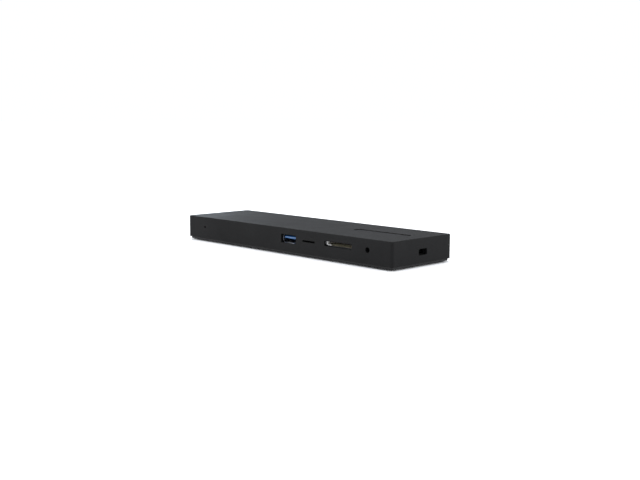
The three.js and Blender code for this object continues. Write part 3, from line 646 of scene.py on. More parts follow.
# ------------------------------------------------------------------ USB type-A sockets
def usb_a(tag):
    at = socket_place(f"usb_a_{tag}_shell")
    p = Piece(f"usb_a_{tag}_shell_formed", at)
    slots = ((-4.3, -1.9), (1.9, 4.3))
    out = rounded(6.4, 2.7, 0.55, 4, xs=(-5.6, -4.3, -1.9, 1.9, 4.3, 5.6), zs=(-1.9, -1.0, 1.0, 1.9))

    def skip(x, y, z):
        if y < 0.75 and abs(x) > 5.6 and abs(z) > 1.9:
            return True
        if 3.2 < y < 8.8 and abs(z) > 2.6 and any(a < x < b for a, b in slots):
            return True
        return 4.6 < y < 8.8 and abs(x) > 6.3 and abs(z) < 1.0

    def flare(x, y, z):
        if y < 0.9:
            k = 0.30 * ((0.9 - y) / 0.9) ** 2
            if abs(z) > 2.6:
                z += math.copysign(k, z)
            elif abs(x) > 6.3:
                x += math.copysign(k * 0.5, x)
        return x, y, z

    # Faces of the bottom lip at the mouth take the bright steel instead of the dark shell steel: a painted highlight
    # where the lip catches light.
    def lip_highlight(x, y, z):
        return 1 if y < 0.9 and z < -2.6 and -1.9 < x < 4.3 else 0

    p.sheet(out, (0.0, 0.3, 0.6, 0.9, 3.2, 4.6, 8.8, 14.0), skip=skip, shape=flare, mat=lip_highlight)
    p.make([SHELL, STEEL], "socket_steel", replaces=(f"usb_a_{tag}_shell",), thick=0.28, bevel=0.05)
    q = Piece(f"usb_a_{tag}_shell_fingers", at)
    for a, b in slots:
        for s in (1, -1):
            path = [(9.2, 2.7 * s), (8.6, 2.7 * s), (7.0, 2.58 * s), (5.4, 2.2 * s), (4.7, 1.98 * s), (4.2, 1.98 * s), (3.6, 2.4 * s)]
            q.strip(a + 0.3, b - 0.3, path, 0.22)
    for s in (1, -1):
        cuts = [(9.2, 0), (8.0, 0), (6.6, -0.14), (5.6, -0.34), (5.1, -0.3), (4.8, 0.0)]
        verts = []
        for y, d in cuts:
            x = (6.4 + d) * s
            verts.append([(x - 0.1, y, -0.62), (x + 0.1, y, -0.62), (x + 0.1, y, 0.62), (x - 0.1, y, 0.62)])
        q.rings(verts)
        # Ears that rest on the board beside its notch.
        for y in (4.2, 11.4):
            z = -1.02
            q.rings(
                [
                    [(6.5 * s, y, z + 0.9), (6.5 * s, y + 1.3, z + 0.9), (6.72 * s, y + 1.3, z + 0.9), (6.72 * s, y, z + 0.9)],
                    [(6.5 * s, y, z), (6.5 * s, y + 1.3, z), (6.72 * s, y + 1.3, z + 0.22), (6.72 * s, y, z + 0.22)],
                    [(8.0 * s, y, z), (8.0 * s, y + 1.3, z), (8.0 * s, y + 1.3, z + 0.22), (8.0 * s, y, z + 0.22)],
                ]
            )
    # Rear wall of the shell.
    q.block(-6.3, 6.3, 13.72, 13.98, -2.6, 2.6, 0.1)
    q.make(SHELL, "socket_steel", bevel=0.03)

    t = Piece(f"usb_a_{tag}_tongue_moulded", at)
    prof = [(11.2, 0.0), (2.0, 0.0), (1.25, 0.0), (0.98, 0.08), (0.66, 0.60), (0.66, 1.16), (0.82, 1.44), (1.3, 1.67), (2.2, 1.80), (3.2, 1.84), (11.2, 1.84)]
    rings = []
    for x, push in ((-5.85, 0.35), (-5.55, 0.0), (5.55, 0.0), (5.85, 0.35)):
        rings.append([(x, y + (push if y < 3 else 0), z) for y, z in prof])
    t.rings(rings)
    back = [(10.5, -2.45), (13.6, -2.45), (13.6, 2.45), (10.5, 2.45), (10.5, 1.95), (11.6, 1.95), (11.6, -0.1), (10.5, -0.1)]
    t.prism([(y, z) for y, z in back], -6.15, 6.15, "x")
    for x in (-4.9, 0.0, 4.9):
        t.block(x - 0.35, x + 0.35, 8.2, 11.4, 1.8, 2.05, 0.06)
    # Ribs between the contacts on the under side.
    for x in (-4.6, -2.25, 0.0, 2.25, 4.6):
        t.block(x - 0.22, x + 0.22, 3.6, 10.6, -0.34, 0.06, 0.05)
    t.make(BLUE, "usb_blue", replaces=(f"usb_a_{tag}_tongue",), bevel=0.07, segments=3)

    c = Piece(f"usb_a_{tag}_contacts_formed", at)
    for x in (-3.5, -1.0, 1.0, 3.5):
        c.strip(
            x - 0.5,
            x + 0.5,
            [(12.4, -0.16), (9.0, -0.16), (5.6, -0.2), (4.9, -0.5), (4.3, -0.66), (3.7, -0.56), (3.0, -0.14), (2.6, -0.07)],
            0.15,
            taper=0.25,
        )
        c.strip(x - 0.22, x + 0.22, [(12.2, -0.2), (12.9, -0.9), (13.1, -2.9)], 0.2)
    for x in (-4.0, -2.0, 0.0, 2.0, 4.0):
        c.block(x - 0.33, x + 0.33, 1.75, 3.3, -0.05, 0.03, 0.02)
    c.make(GOLD, "gold_contact", replaces=(f"usb_a_{tag}_contacts",), bevel=0.03, segments=1)


for tag in ("front", "rear_1", "rear_2"):
    usb_a(tag)


# ------------------------------------------------------------------ USB type-C socket
def usb_c():
    at = socket_place("usb_c_host_shell")
    p = Piece("usb_c_host_shell_formed", at)
    out = rounded(4.32, 1.43, 1.42, 8, xs=(-1.8, 1.8))

    def lip(x, y, z):
        if y < 0.35:
            k = 1 + 0.02 * (0.35 - y) / 0.35
            return x * k, y, z * k
        return x, y, z

    p.sheet(out, (0.0, 0.12, 0.35, 2.4, 6.2, 9.0), skip=lambda x, y, z: 2.4 < y < 6.2 and abs(x) < 1.8 and z > 1.3, shape=lip)
    p.make(STEEL, "socket_steel", replaces=("usb_c_host_shell",), thick=0.28, bevel=0.06, segments=3)
    q = Piece("usb_c_host_shell_details", at)
    q.strip(-1.5, 1.5, [(6.6, 1.5), (5.6, 1.45), (4.2, 1.3), (3.4, 1.24), (2.7, 1.34)], 0.14)
    q.block(-4.1, 4.1, 8.6, 8.95, -1.2, 1.2, 0.2)
    for s in (1, -1):
        q.block(min(4.4 * s, 5.6 * s), max(4.4 * s, 5.6 * s), 2.0, 3.4, -1.08, -0.86, 0.05)
        q.block(min(4.4 * s, 5.6 * s), max(4.4 * s, 5.6 * s), 6.4, 7.6, -1.08, -0.86, 0.05)
    q.make(STEEL, "socket_steel", bevel=0.03)
    t = Piece("usb_c_host_tongue_moulded", at)
    plan = [(-3.35, 7.0), (-3.35, 1.1), (-2.95, 0.6), (2.95, 0.6), (3.35, 1.1), (3.35, 7.0)]
    t.rings([[(x * k, y + d, z) for x, y in plan] for z, k, d in ((-0.35, 0.97, 0.1), (-0.25, 1, 0), (0.25, 1, 0), (0.35, 0.97, 0.1))])
    t.rings([[(x, y, z) for x, z in rounded(4.05, 1.14, 1.0, 6)] for y in (6.5, 8.6)])
    t.rings([[(x, y, z) for x, z in rounded(3.5, 0.62, 0.3, 4)] for y in (4.9, 6.6)])
    t.make(INSUL, "insulator", replaces=("usb_c_host_tongue",), bevel=0.05)
    c = Piece("usb_c_host_contacts", at)
    for i in range(12):
        x = -2.75 + 0.5 * i
        for s in (1, -1):
            c.block(x - 0.13, x + 0.13, 1.15 if i in (0, 3, 8, 11) else 1.5, 4.9, 0.33 * s - 0.035, 0.33 * s + 0.035, 0.01)
    c.block(-3.42, -3.3, 1.6, 4.4, -0.12, 0.12, 0.02)
    c.block(3.3, 3.42, 1.6, 4.4, -0.12, 0.12, 0.02)
    c.make(GOLD, "gold_contact", bevel=0.0)


usb_c()


# ------------------------------------------------------------------ display sockets
def display_socket(tag, corners, tongue, block, contacts, windows):
    at = socket_place(f"{tag}_shell")
    p = Piece(f"{tag}_shell_formed", at)
    out = keyed(corners, 0.45, 3)
    # Extra points along the top and bottom runs so that the spring windows have clean edges.
    dense = []
    for i, a in enumerate(out):
        b = out[(i + 1) % len(out)]
        dense.append(a)
        if abs(a[1] - b[1]) < 0.02 and abs(a[0] - b[0]) > 3:
            inner = sorted([w for pair in windows for w in pair], reverse=a[0] > b[0])
            dense += [(w, a[1]) for w in inner if min(a[0], b[0]) + 0.1 < w < max(a[0], b[0]) - 0.1]
    zmax = max(z for _, z in dense)
    zmin = min(z for _, z in dense)

    def skip(x, y, z):
        flat = z > zmax - 0.05 or z < zmin + 0.05
        return flat and 2.6 < y < 7.4 and any(a < x < b for a, b in windows)

    def lip(x, y, z):
        if y < 0.5:
            k = 0.22 * ((0.5 - y) / 0.5) ** 2
            x += math.copysign(k, x) if abs(x) > 5.5 else 0
            z += math.copysign(k, z)
        return x, y, z

    p.sheet(dense, (0.0, 0.2, 0.5, 2.6, 7.4, 11.4), skip=skip, shape=lip)
    p.make(STEEL, "socket_steel", replaces=(f"{tag}_shell",), thick=0.3, bevel=0.06, segments=2)
    q = Piece(f"{tag}_shell_fingers", at)
    for a, b in windows:
        for z, s in ((zmax, 1), (zmin, -1)):
            if not any(abs(pt[1] - z) < 0.02 and pt[0] <= a + 0.01 for pt in dense) or not any(
                abs(pt[1] - z) < 0.02 and pt[0] >= b - 0.01 for pt in dense
            ):
                continue
            q.strip(
                a + 0.25,
                b - 0.25,
                [(7.7, z), (7.0, z - 0.02 * s), (5.4, z - 0.3 * s), (4.2, z - 0.62 * s), (3.7, z - 0.62 * s), (3.0, z - 0.25 * s)],
                0.2,
            )
    x0 = min(x for x, _ in dense)
    for s in (1, -1):
        for y in (3.0, 8.8):
            a, b = sorted((abs(x0) * s, (abs(x0) + 1.3) * s))
            q.block(a, b, y, y + 1.4, -1.1, -0.88, 0.05)
    q.block(x0 + 0.4, -x0 - 0.4, 11.0, 11.3, -0.8, zmax - 0.2, 0.1)
    q.make(STEEL, "socket_steel", bevel=0.03)
    t = Piece(f"{tag}_tongue_moulded", at)
    x0, x1, z0, z1 = tongue
    t.rings(
        [
            [(x, 10.2, z) for x, z in ((x0, z0), (x1, z0), (x1, z1), (x0, z1))],
            [(x, 1.35, z) for x, z in ((x0, z0), (x1, z0), (x1, z1), (x0, z1))],
            [(x, 1.0, z) for x, z in ((x0 + 0.25, z0 + 0.2), (x1 - 0.25, z0 + 0.2), (x1 - 0.25, z1 - 0.2), (x0 + 0.25, z1 - 0.2))],
        ]
    )
    t.rings([[(x, y, z) for x, z in block] for y in (9.2, 11.0)])
    t.block(x0 - 0.15, x0 + 0.2, 6.4, 9.4, z0 - 0.15, z1 + 0.15, 0.1)
    t.block(x1 - 0.2, x1 + 0.15, 6.4, 9.4, z0 - 0.15, z1 + 0.15, 0.1)
    t.make(INSUL, "insulator", replaces=(f"{tag}_tongue",), bevel=0.06)
    c = Piece(f"{tag}_contacts", at)
    for n, start, side in contacts:
        for i in range(n):
            x = start + i
            z = z1 if side > 0 else z0
            c.strip(x - 0.2, x + 0.2, [(9.4, z), (4.6, z), (3.4, z + 0.05 * side), (2.0, z + 0.03 * side), (1.6, z - 0.03 * side)], 0.09)
    c.make(GOLD, "gold_contact")


display_socket(
    "hdmi",
    [(-7.17, 2.47), (-7.17, -1.0), (-6.0, -2.47), (6.0, -2.47), (7.17, -1.0), (7.17, 2.47)],
    (-5.6, 5.6, 0.25, 1.25),
    [(-5.7, -2.1), (5.7, -2.1), (5.7, 2.1), (-5.7, 2.1)],
    [(10, -4.5, 1), (9, -4.0, -1)],
    ((-4.4, -1.8), (1.8, 4.4)),
)
display_socket(
    "displayport",
    [(-8.22, 2.57), (-8.22, -2.57), (5.97, -2.57), (8.22, -0.37), (8.22, 2.57)],
    (-6.7, 5.6, 0.1, 1.2),
    [(-7.8, -2.2), (5.4, -2.2), (5.4, 2.2), (-7.8, 2.2)],
    [(11, -5.6, 1), (11, -5.1, -1)],
    ((-4.9, -2.1), (1.7, 4.5)),
)


# ------------------------------------------------------------------ network jack
def network_jack():
    at = socket_place("ethernet_jack_insert")
    c = Piece("ethernet_jack_wires", at)
    for i in range(8):
        x = -3.57 + 1.02 * i
        path = [(x, 13.6, -4.9), (x, 13.6, 2.6)] + [(x, y, z) for y, z in arc(12.9, 2.6, 0.7, 0, 90, 4)]
        path += [(x, 11.6, 3.3), (x, 11.1, 3.24)] + [(x, 11.1 - 0.62 * k, 3.2 - 0.16 * k) for k in range(1, 11)]
        path += [(x, 4.5, 1.5), (x, 4.15, 1.42), (x, 3.95, 1.6)]
        c.wire(path, 0.19, 8)
    c.make(GOLD, "gold_contact", replaces=("ethernet_jack_contacts",))
    t = Piece("ethernet_jack_combs", at)
    for i in range(9):
        x = -4.08 + 1.02 * i
        t.block(x - 0.16, x + 0.16, 3.4, 11.2, 2.2, 3.64, 0.08)
    t.block(-4.6, 4.6, 11.0, 11.9, 3.02, 3.62, 0.1)
    t.make(INSUL, "insulator")
    # Grounding tabs of the shield, seen between it and the housing.
    q = Piece("ethernet_jack_shield_tabs", at)
    for s in (1, -1):
        for z in (-2.2, 2.6):
            rings = []
            for y, d in ((6.4, 0.0), (4.8, 0.12), (2.6, 0.42), (1.6, 0.40), (1.0, 0.12)):
                x = (8.0 + d) * s
                rings.append([(x - 0.09, y, z - 0.8), (x + 0.09, y, z - 0.8), (x + 0.09, y, z + 0.8), (x - 0.09, y, z + 0.8)])
            q.rings(rings)
    for x in (-3.6, 3.6):
        q.strip(x - 1.1, x + 1.1, [(6.4, 6.2), (4.8, 6.26), (2.6, 6.4), (1.6, 6.38), (1.0, 6.2)], 0.16)
    q.make(STEEL, "socket_steel", bevel=0.03)


network_jack()


# ------------------------------------------------------------------ power inlet
def power_inlet():
    at = socket_place("dc_inlet_housing")
    c = Piece("dc_inlet_pin_turned", at)
    c.lathe([(0.0, 0.75), (0.35, 0.78), (0.72, 0.95), (0.95, 1.3), (1.05, 1.9), (1.05, 11.9), (0.8, 12.0), (0.0, 12.0)], (0, 0, 0), "y", 28)
    c.make(NICKEL, "nickel", replaces=("dc_inlet_pin",))
    s = Piece("dc_inlet_spring", at)
    path = [(9.6, -3.0), (8.0, -2.95), (5.5, -2.6), (4.0, -2.35), (3.2, -2.45), (2.4, -2.9)]
    s.strip(-1.0, 1.0, path, 0.2)
    s.strip(-0.7, 0.7, [(9.8, 3.02), (7.0, 2.95), (4.4, 2.6), (3.4, 2.62), (2.8, 2.95)], 0.18)
    s.make(NICKEL, "nickel", bevel=0.04)
    r = Piece("dc_inlet_collar", at)
    n = 40
    prof = [(3.12, 0.05), (3.12, -0.12), (3.5, -0.3), (3.9, -0.3), (4.1, -0.1), (4.1, 0.05)]
    rings = []
    for i in range(n):
        a = 2 * math.pi * i / n
        rings.append([(q * math.cos(a), y, q * math.sin(a)) for q, y in prof])
    r.rings(rings, close=True)
    r.make(INSUL, "insulator")


power_inlet()


# ------------------------------------------------------------------ headset jack
def headset_jack():
    at = socket_place("audio_jack_body")
    NODES["audio_jack_body"].data.materials[0] = MATT
    r = Piece("audio_jack_ring", at)
    n = 40
    prof = [(1.82, 0.35), (1.82, 0.0), (1.95, -0.12), (2.25, -0.12), (2.4, 0.02), (2.4, 0.35)]
    rings = []
    for i in range(n):
        a = 2 * math.pi * i / n
        rings.append([(q * math.cos(a), y, q * math.sin(a)) for q, y in prof])
    r.rings(rings, close=True)
    r.make(MATT, "insulator")
    # Barrel of the jack, which fills the hole in the wall nearly to its face.
    wall = -29.78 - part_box("audio_jack_body")[0].y / MM
    b = Piece("audio_jack_barrel", at)
    prof = [(1.70, 0.3), (1.70, wall + 0.1), (1.76, wall), (1.83, wall), (1.87, wall + 0.05), (1.87, 0.3)]
    b.rings([[(q * math.cos(2 * math.pi * i / n), y, q * math.sin(2 * math.pi * i / n)) for q, y in prof] for i in range(n)], close=True)
    b.make(MATT, "insulator")
    c = Piece("audio_jack_springs", at)
    c.strip(-0.5, 0.5, [(10.4, 2.2), (8.8, 2.15), (7.2, 1.75), (6.6, 1.55), (6.0, 1.7), (5.4, 2.1)], 0.16)
    c.strip(-0.5, 0.5, [(10.8, -2.2), (9.4, -2.1), (8.6, -1.7), (8.0, -1.55), (7.4, -1.8), (7.0, -2.2)], 0.16)
    path = []
    for y, x in ((3.8, 2.3), (5.0, 2.1), (6.6, 1.7), (7.4, 1.55), (8.2, 1.7), (9.0, 2.2), (10.2, 2.3)):
        path.append([(x - 0.08, y, -0.55), (x + 0.08, y, -0.55), (x + 0.08, y, 0.55), (x - 0.08, y, 0.55)])
    c.rings(path)
    c.make(NICKEL, "nickel", replaces=("audio_jack_contact",), bevel=0.03)


headset_jack()


# ------------------------------------------------------------------ card sockets
def helix(p, cx, cz, r, y0, y1, turns, wr, per=18):
    total = int((turns + 2) * per)
    path = []
    for i in range(total + 1):
        t = i / per
        if t < 1:
            y = y0 + wr + t * wr * 2.2
        elif t > turns + 1:
            y = y1 - wr - (turns + 2 - t) * wr * 2.2
        else:
            a, b = y0 + wr * 3.2, y1 - wr * 3.2
            y = a + (b - a) * (t - 1) / turns
        ang = 2 * math.pi * t
        path.append((cx + r * math.cos(ang), y, cz + r * math.sin(ang)))
    p.wire(path, wr, 7)


def sd_socket():
    at = socket_place("sd_socket_cover", z_from_node=False)
    # Pressed cover: roof, two walls, and a foot turned in under the card at the left of the mouth.
    p = Piece("sd_socket_cover_pressed", at)
    roof = [(-12.65, 10.42), (-12.65, 11.2), (-12.65, 12.2), (-12.65, 13.25)]
    roof += [(-12.3 + 0.35 * math.cos(math.radians(a)), 13.25 + 0.35 * math.sin(math.radians(a))) for a in (150, 120, 90)]
    roof += [(x, 13.6) for x in (-10.4, -9.0, -6.6, -5.4, -2.2, 0.0, 2.2, 4.4, 6.8, 8.2, 10.6)]
    roof += [(12.3 + 0.35 * math.cos(math.radians(a)), 13.25 + 0.35 * math.sin(math.radians(a))) for a in (90, 60, 30)]
    roof += [(12.65, 13.25), (12.65, 12.2), (12.65, 11.2), (12.65, 10.42)]

    def windows(x, y, z):
        if z > 13.5:
            if 5.0 < y < 10.6 and (-9.0 < x < -6.6 or 6.8 < x < 8.2):
                return True
            if 14.6 < y < 18.2 and (-5.4 < x < -2.2 or 2.2 < x < 4.4):
                return True
            if 21.0 < y < 25.6 and 8.2 < x < 10.6:
                return True
            return y < 0.6 and -2.2 < x < 2.2
        return 11.2 < z < 12.2 and 9.0 < y < 12.6

    def lip(x, y, z):
        if y < 0.6 and z > 13.5:
            z += 0.08 * ((0.6 - y) / 0.6) ** 2
        return x, y, z

    p.sheet(roof, (0.0, 0.3, 0.6, 5.0, 9.0, 10.6, 12.6, 14.6, 18.2, 21.0, 25.6, 28.75), closed=False, skip=windows, shape=lip)
    p.make(STEEL, "socket_steel", replaces=("sd_socket_cover",), thick=0.26, bevel=0.05)
    q = Piece("sd_socket_cover_springs", at)
    for a, b in ((-9.0, -6.6), (6.8, 8.2)):
        q.strip(a + 0.25, b - 0.25, [(11.0, 13.6), (10.2, 13.58), (8.0, 13.4), (6.4, 13.16), (5.8, 13.2), (5.4, 13.4)], 0.18)
    for a, b in ((-5.4, -2.2), (2.2, 4.4)):
        q.strip(a + 0.25, b - 0.25, [(18.6, 13.6), (17.6, 13.56), (16.0, 13.34), (15.4, 13.34), (15.0, 13.5)], 0.18)
    # Left wall's foot: the sheet turns in at the floor with a soft inner corner, and its front edge is rolled.
    turn = [(-11.9, 13.1), (-11.9, 11.4), (-11.84, 11.17), (-11.68, 10.98), (-11.43, 10.89), (-11.1, 10.87), (-10.4, 10.87), (-8.9, 10.87), (-8.3, 10.86)]
    n = len(turn)

    def turned(y, gap, first=0):
        pts, back = [], []
        for i in range(first, n):
            x, z = turn[i]
            ax, az = turn[max(i - 1, 0)]
            bx, bz = turn[min(i + 1, n - 1)]
            l = math.hypot(bx - ax, bz - az)
            nx, nz = -(bz - az) / l, (bx - ax) / l
            pts.append((x + nx * gap, y, z + nz * gap))
            back.append((x - nx * (0.12 + gap * 0.2), y, z - nz * (0.12 + gap * 0.2)))
        return pts + back[::-1]

    q.rings([turned(0.34, -0.08), turned(0.26, 0.08), turned(0.27, 0.24), turned(0.40, 0.35), turned(0.66, 0.38), turned(1.05, 0.30), turned(1.5, 0.10), turned(1.8, 0.0)])
    q.rings([turned(1.8, 0.0, 3), turned(4.4, 0.0, 3), turned(6.8, 0.0, 3)])
    d = Piece("sd_socket_guide_wall", at)
    d.rings([turned(1.8, 0.0)[0:3] + turned(1.8, 0.0)[-3:], turned(4.6, 0.0)[0:3] + turned(4.6, 0.0)[-3:], turned(7.1, 0.0)[0:3] + turned(7.1, 0.0)[-3:]])
    d.make(DEEP, "socket_steel", bevel=0.02)
    for s, x in ((1, 12.8), (-1, -12.8)):
        for y in (3.4, 15.0, 25.8):
            a, b = sorted((x, x + 1.3 * s))
            q.block(a, b, y, y + 1.6, 10.24, 10.44, 0.05)
    # These pieces take the near-white steel: a painted highlight on the rolled rim of the mouth.
    q.make(SD_RIM_HIGHLIGHT_STEEL, "socket_steel", bevel=0.03)

    b = Piece("sd_socket_base_moulded", at)
    b.block(-12.35, 12.35, 0.0, 28.6, 10.3, 10.78, 0.08)
    b.block(-12.35, 12.35, 27.1, 28.6, 10.7, 13.4, 0.15)
    b.block(-12.4, -12.1, 7.2, 27.3, 10.7, 13.3, 0.08)
    b.block(6.9, 7.5, 18.8, 27.5, 10.7, 13.2, 0.1)
    # Ribs between the contact springs.
    for i in range(10):
        x = -11.25 + 2.5 * i
        if x > 11.4:
            continue
        b.block(x - 0.3, x + 0.3, 4.6, 15.2, 10.7, 11.12, 0.08)
    b.block(-11.6, 11.4, 15.2, 17.0, 10.7, 11.3, 0.12)
    # Ejector track with its heart-shaped cam beside the slider.
    cam = [(8.0, 19.6), (9.2, 20.2), (10.0, 21.6), (9.8, 23.0), (9.2, 22.6), (8.6, 23.2), (8.0, 22.6)]
    b.prism(cam, 10.7, 11.6, "z")
    b.block(7.5, 8.0, 18.8, 27.3, 10.7, 11.4, 0.08)
    b.make(INSUL, "insulator", replaces=("sd_socket_base",), bevel=0.05)

    c = Piece("sd_contact_springs", at)
    for i in range(9):
        x = -10.0 + 2.5 * i
        path = [(0.9, 10.82), (1.3, 10.88), (1.9, 11.02), (2.8, 11.28), (4.2, 11.5), (6.2, 11.66), (9.0, 11.9), (11.4, 12.24)]
        path += [(12.2, 12.36), (12.9, 12.3), (13.8, 11.9), (14.6, 11.5)]
        c.strip(x - 0.98, x + 0.98, path[:6], 0.12)
        c.strip(x - 0.6, x + 0.6, path[5:], 0.14, taper=0.3)
    # Carrier strip that joins the roots along the mouth.
    c.strip(-8.5, 12.2, [(1.6, 10.86), (2.6, 11.06), (3.6, 11.1)], 0.08)
    c.make(GILT, "gold_contact", replaces=("sd_contact_strip",), bevel=0.03, segments=1)

    s = Piece("sd_eject_slider_moulded", at)
    prof = [(10.95, 14.35), (11.2, 14.2), (12.05, 14.2), (12.25, 14.4), (12.25, 18.2), (8.0, 18.2), (8.0, 17.2), (8.3, 16.9), (10.95, 16.9)]
    s.rings([[(x, y, z) for x, y in prof] for z in (11.05, 12.0)])
    up = [(10.95, 14.35), (11.2, 14.2), (12.05, 14.2), (12.25, 14.4), (12.25, 18.2), (10.95, 18.2)]
    s.rings([[(x, y, z) for x, y in up] for z in (11.9, 13.2)])
    s.block(9.0, 10.2, 17.1, 18.1, 11.9, 12.3, 0.1)
    s.lathe([(0.0, 18.15), (0.28, 18.15), (0.28, 18.9), (0.16, 19.1), (0.0, 19.1)], (11.55, 0, 12.0), "y", 14)
    s.make(INSUL, "insulator", body="sd_ejector", replaces=("sd_eject_slider",), bevel=0.07)

    h = Piece("sd_eject_spring_wound", at)
    helix(h, 11.55, 12.0, 0.5, 18.5, 26.9, 9, 0.11)
    o = h.make(SPRING, "socket_steel", replaces=("sd_eject_spring",))
    return o


def microsd_socket():
    at = socket_place("microsd_socket_cover", z_from_node=False)
    p = Piece("microsd_socket_cover_pressed", at)
    roof = [(-6.74, 10.4), (-6.74, 11.2), (-6.74, 11.85)]
    roof += [(-6.44 + 0.3 * math.cos(math.radians(a)), 11.85 + 0.3 * math.sin(math.radians(a))) for a in (150, 120, 90)]
    roof += [(x, 12.15) for x in (-5.2, -3.4, -1.2, 1.2, 3.0, 4.4)]
    roof += [(6.44 + 0.3 * math.cos(math.radians(a)), 11.85 + 0.3 * math.sin(math.radians(a))) for a in (90, 60, 30)]
    roof += [(6.74, 11.85), (6.74, 11.2), (6.74, 10.4)]

    def windows(x, y, z):
        if z > 12.1:
            if 4.0 < y < 7.6 and (-5.2 < x < -3.4 or 3.0 < x < 4.4):
                return True
            if 9.6 < y < 12.4 and -1.2 < x < 1.2:
                return True
        return False

    p.sheet(roof, (0.0, 0.3, 4.0, 7.6, 9.6, 12.4, 15.35), closed=False, skip=windows)
    p.make(STEEL, "socket_steel", replaces=("microsd_socket_cover",), thick=0.2, bevel=0.04)
    q = Piece("microsd_socket_cover_springs", at)
    for a, b in ((-5.2, -3.4), (3.0, 4.4)):
        q.strip(a + 0.2, b - 0.2, [(7.9, 12.15), (7.2, 12.13), (5.6, 12.0), (4.7, 11.9), (4.3, 12.0)], 0.12)
    for s in (1, -1):
        for y in (2.4, 12.6):
            a, b = sorted((6.84 * s, 7.9 * s))
            q.block(a, b, y, y + 1.2, 10.24, 10.4, 0.04)
    q.make(STEEL, "socket_steel", bevel=0.02)
    b = Piece("microsd_socket_base_moulded", at)
    b.block(-6.55, 6.55, 0.0, 15.2, 10.3, 10.66, 0.06)
    b.block(-6.55, 6.55, 14.2, 15.2, 10.6, 12.0, 0.1)
    b.block(-6.55, -6.2, 0.2, 14.4, 10.6, 12.0, 0.06)
    # Low step behind the mouth.
    b.rings(
        [
            [(x, y, z) for x, z in ((-6.3, 10.6), (6.3, 10.6), (6.3, h), (-6.3, h))]
            for y, h in ((0.3, 10.68), (1.2, 10.72), (4.6, 10.72), (5.4, 10.68))
        ]
    )
    for i in range(9):
        x = -4.45 + 1.1 * i
        b.block(x - 0.16, x + 0.16, 5.4, 9.6, 10.6, 10.86, 0.05)
    b.make(INSUL, "insulator", replaces=("microsd_socket_base",), bevel=0.04)
    c = Piece("microsd_contact_springs", at)
    for i in range(8):
        x = -3.9 + 1.1 * i
        c.strip(
            x - 0.28,
            x + 0.28,
            [(12.6, 10.76), (11.0, 10.78), (9.2, 10.95), (8.0, 11.2), (7.4, 11.28), (6.8, 11.2), (6.2, 10.95)],
            0.1,
        )
        c.block(x - 0.22, x + 0.22, 12.4, 13.6, 10.66, 10.78, 0.02)
    c.make(GOLD, "gold_contact", replaces=("microsd_contact_strip",), bevel=0.02, segments=1)
    s = Piece("microsd_eject_slider_moulded", at)
    prof = [(5.0, 6.35), (5.15, 6.2), (5.85, 6.2), (6.0, 6.4), (6.0, 9.7), (3.0, 9.7), (3.0, 9.0), (3.2, 8.8), (5.0, 8.8)]
    s.rings([[(x, y, z) for x, y in prof] for z in (10.85, 11.35)])
    up = [(5.0, 6.35), (5.15, 6.2), (5.85, 6.2), (6.0, 6.4), (6.0, 9.7), (5.0, 9.7)]
    s.rings([[(x, y, z) for x, y in up] for z in (11.3, 11.85)])
    s.lathe([(0.0, 9.65), (0.2, 9.65), (0.2, 10.2), (0.12, 10.35), (0.0, 10.35)], (5.65, 0, 11.3), "y", 12)
    s.make(INSUL, "insulator", body="microsd_ejector", replaces=("microsd_eject_slider",), bevel=0.04)
    h = Piece("microsd_eject_spring_wound", at)
    helix(h, 5.65, 11.3, 0.36, 9.95, 14.0, 7, 0.08)
    return h.make(SPRING, "socket_steel", replaces=("microsd_eject_spring",))


def anchored(spring, node):
    """Gives the spring a mesh of its own."""
    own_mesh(spring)


anchored(sd_socket(), "sd_eject_spring")
anchored(microsd_socket(), "microsd_eject_spring")


# ------------------------------------------------------------------ lining of the lock slot, a black sheet painted in as shade
def lock_slot_shade_lining():
    """A thin black collar folded out of the bracket, which lines the opening in the end wall; it is painted shade, a
    black sheet that makes the slot's walls read dark.
    """
    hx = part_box("upper_housing")[1].x / MM
    p = Piece("lock_slot_shade_lining", lambda y, x, z: (x, y + 0.05, z + 9.75))
    outer = rounded(4.19, 2.09, 0.69, 5)
    inner = rounded(4.06, 1.96, 0.56, 5)
    stations = ((hx - 2.3, outer, 0.0), (hx - 0.32, outer, 0.0), (hx - 0.32, inner, 0.0), (hx - 2.3, inner, 0.0))
    p.rings([[(u, x, w) for u, w in o] for x, o, _ in stations], close=True)
    p.make(MATT, "bracket_steel")


lock_slot_shade_lining()


# ------------------------------------------------------------------ status light
def status_light():
    lo, hi = (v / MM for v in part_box("status_light_pipe"))
    cx, cz = (lo.x + hi.x) / 2, (lo.z + hi.z) / 2
    p = Piece("status_light_pipe_moulded")
    y = lo.y
    p.lathe(
        [(0.0, 0.95), (0.3, 0.98), (0.55, 1.1), (0.72, 1.3), (0.72, 2.0), (0.95, 2.05), (0.95, 2.5), (0.72, 2.55), (0.72, hi.y - y), (0.0, hi.y - y)],
        (cx, y, cz),
        "y",
        28,
    )
    p.make(PIPE, "light_pipe", replaces=("status_light_pipe",))


status_light()


# ------------------------------------------------------------------ screws with a cross recess
def boolean_cut(obj, cutter):
    m = obj.modifiers.new("cut", "BOOLEAN")
    m.operation = "DIFFERENCE"
    m.solver = "EXACT"
    m.object = cutter
    bpy.context.view_layer.update()
    dg = bpy.context.evaluated_depsgraph_get()
    me = bpy.data.meshes.new_from_object(obj.evaluated_get(dg))
    obj.modifiers.clear()
    old = obj.data
    obj.data = me
    bpy.data.meshes.remove(old)
    cm = cutter.data
    bpy.data.objects.remove(cutter)
    bpy.data.meshes.remove(cm)


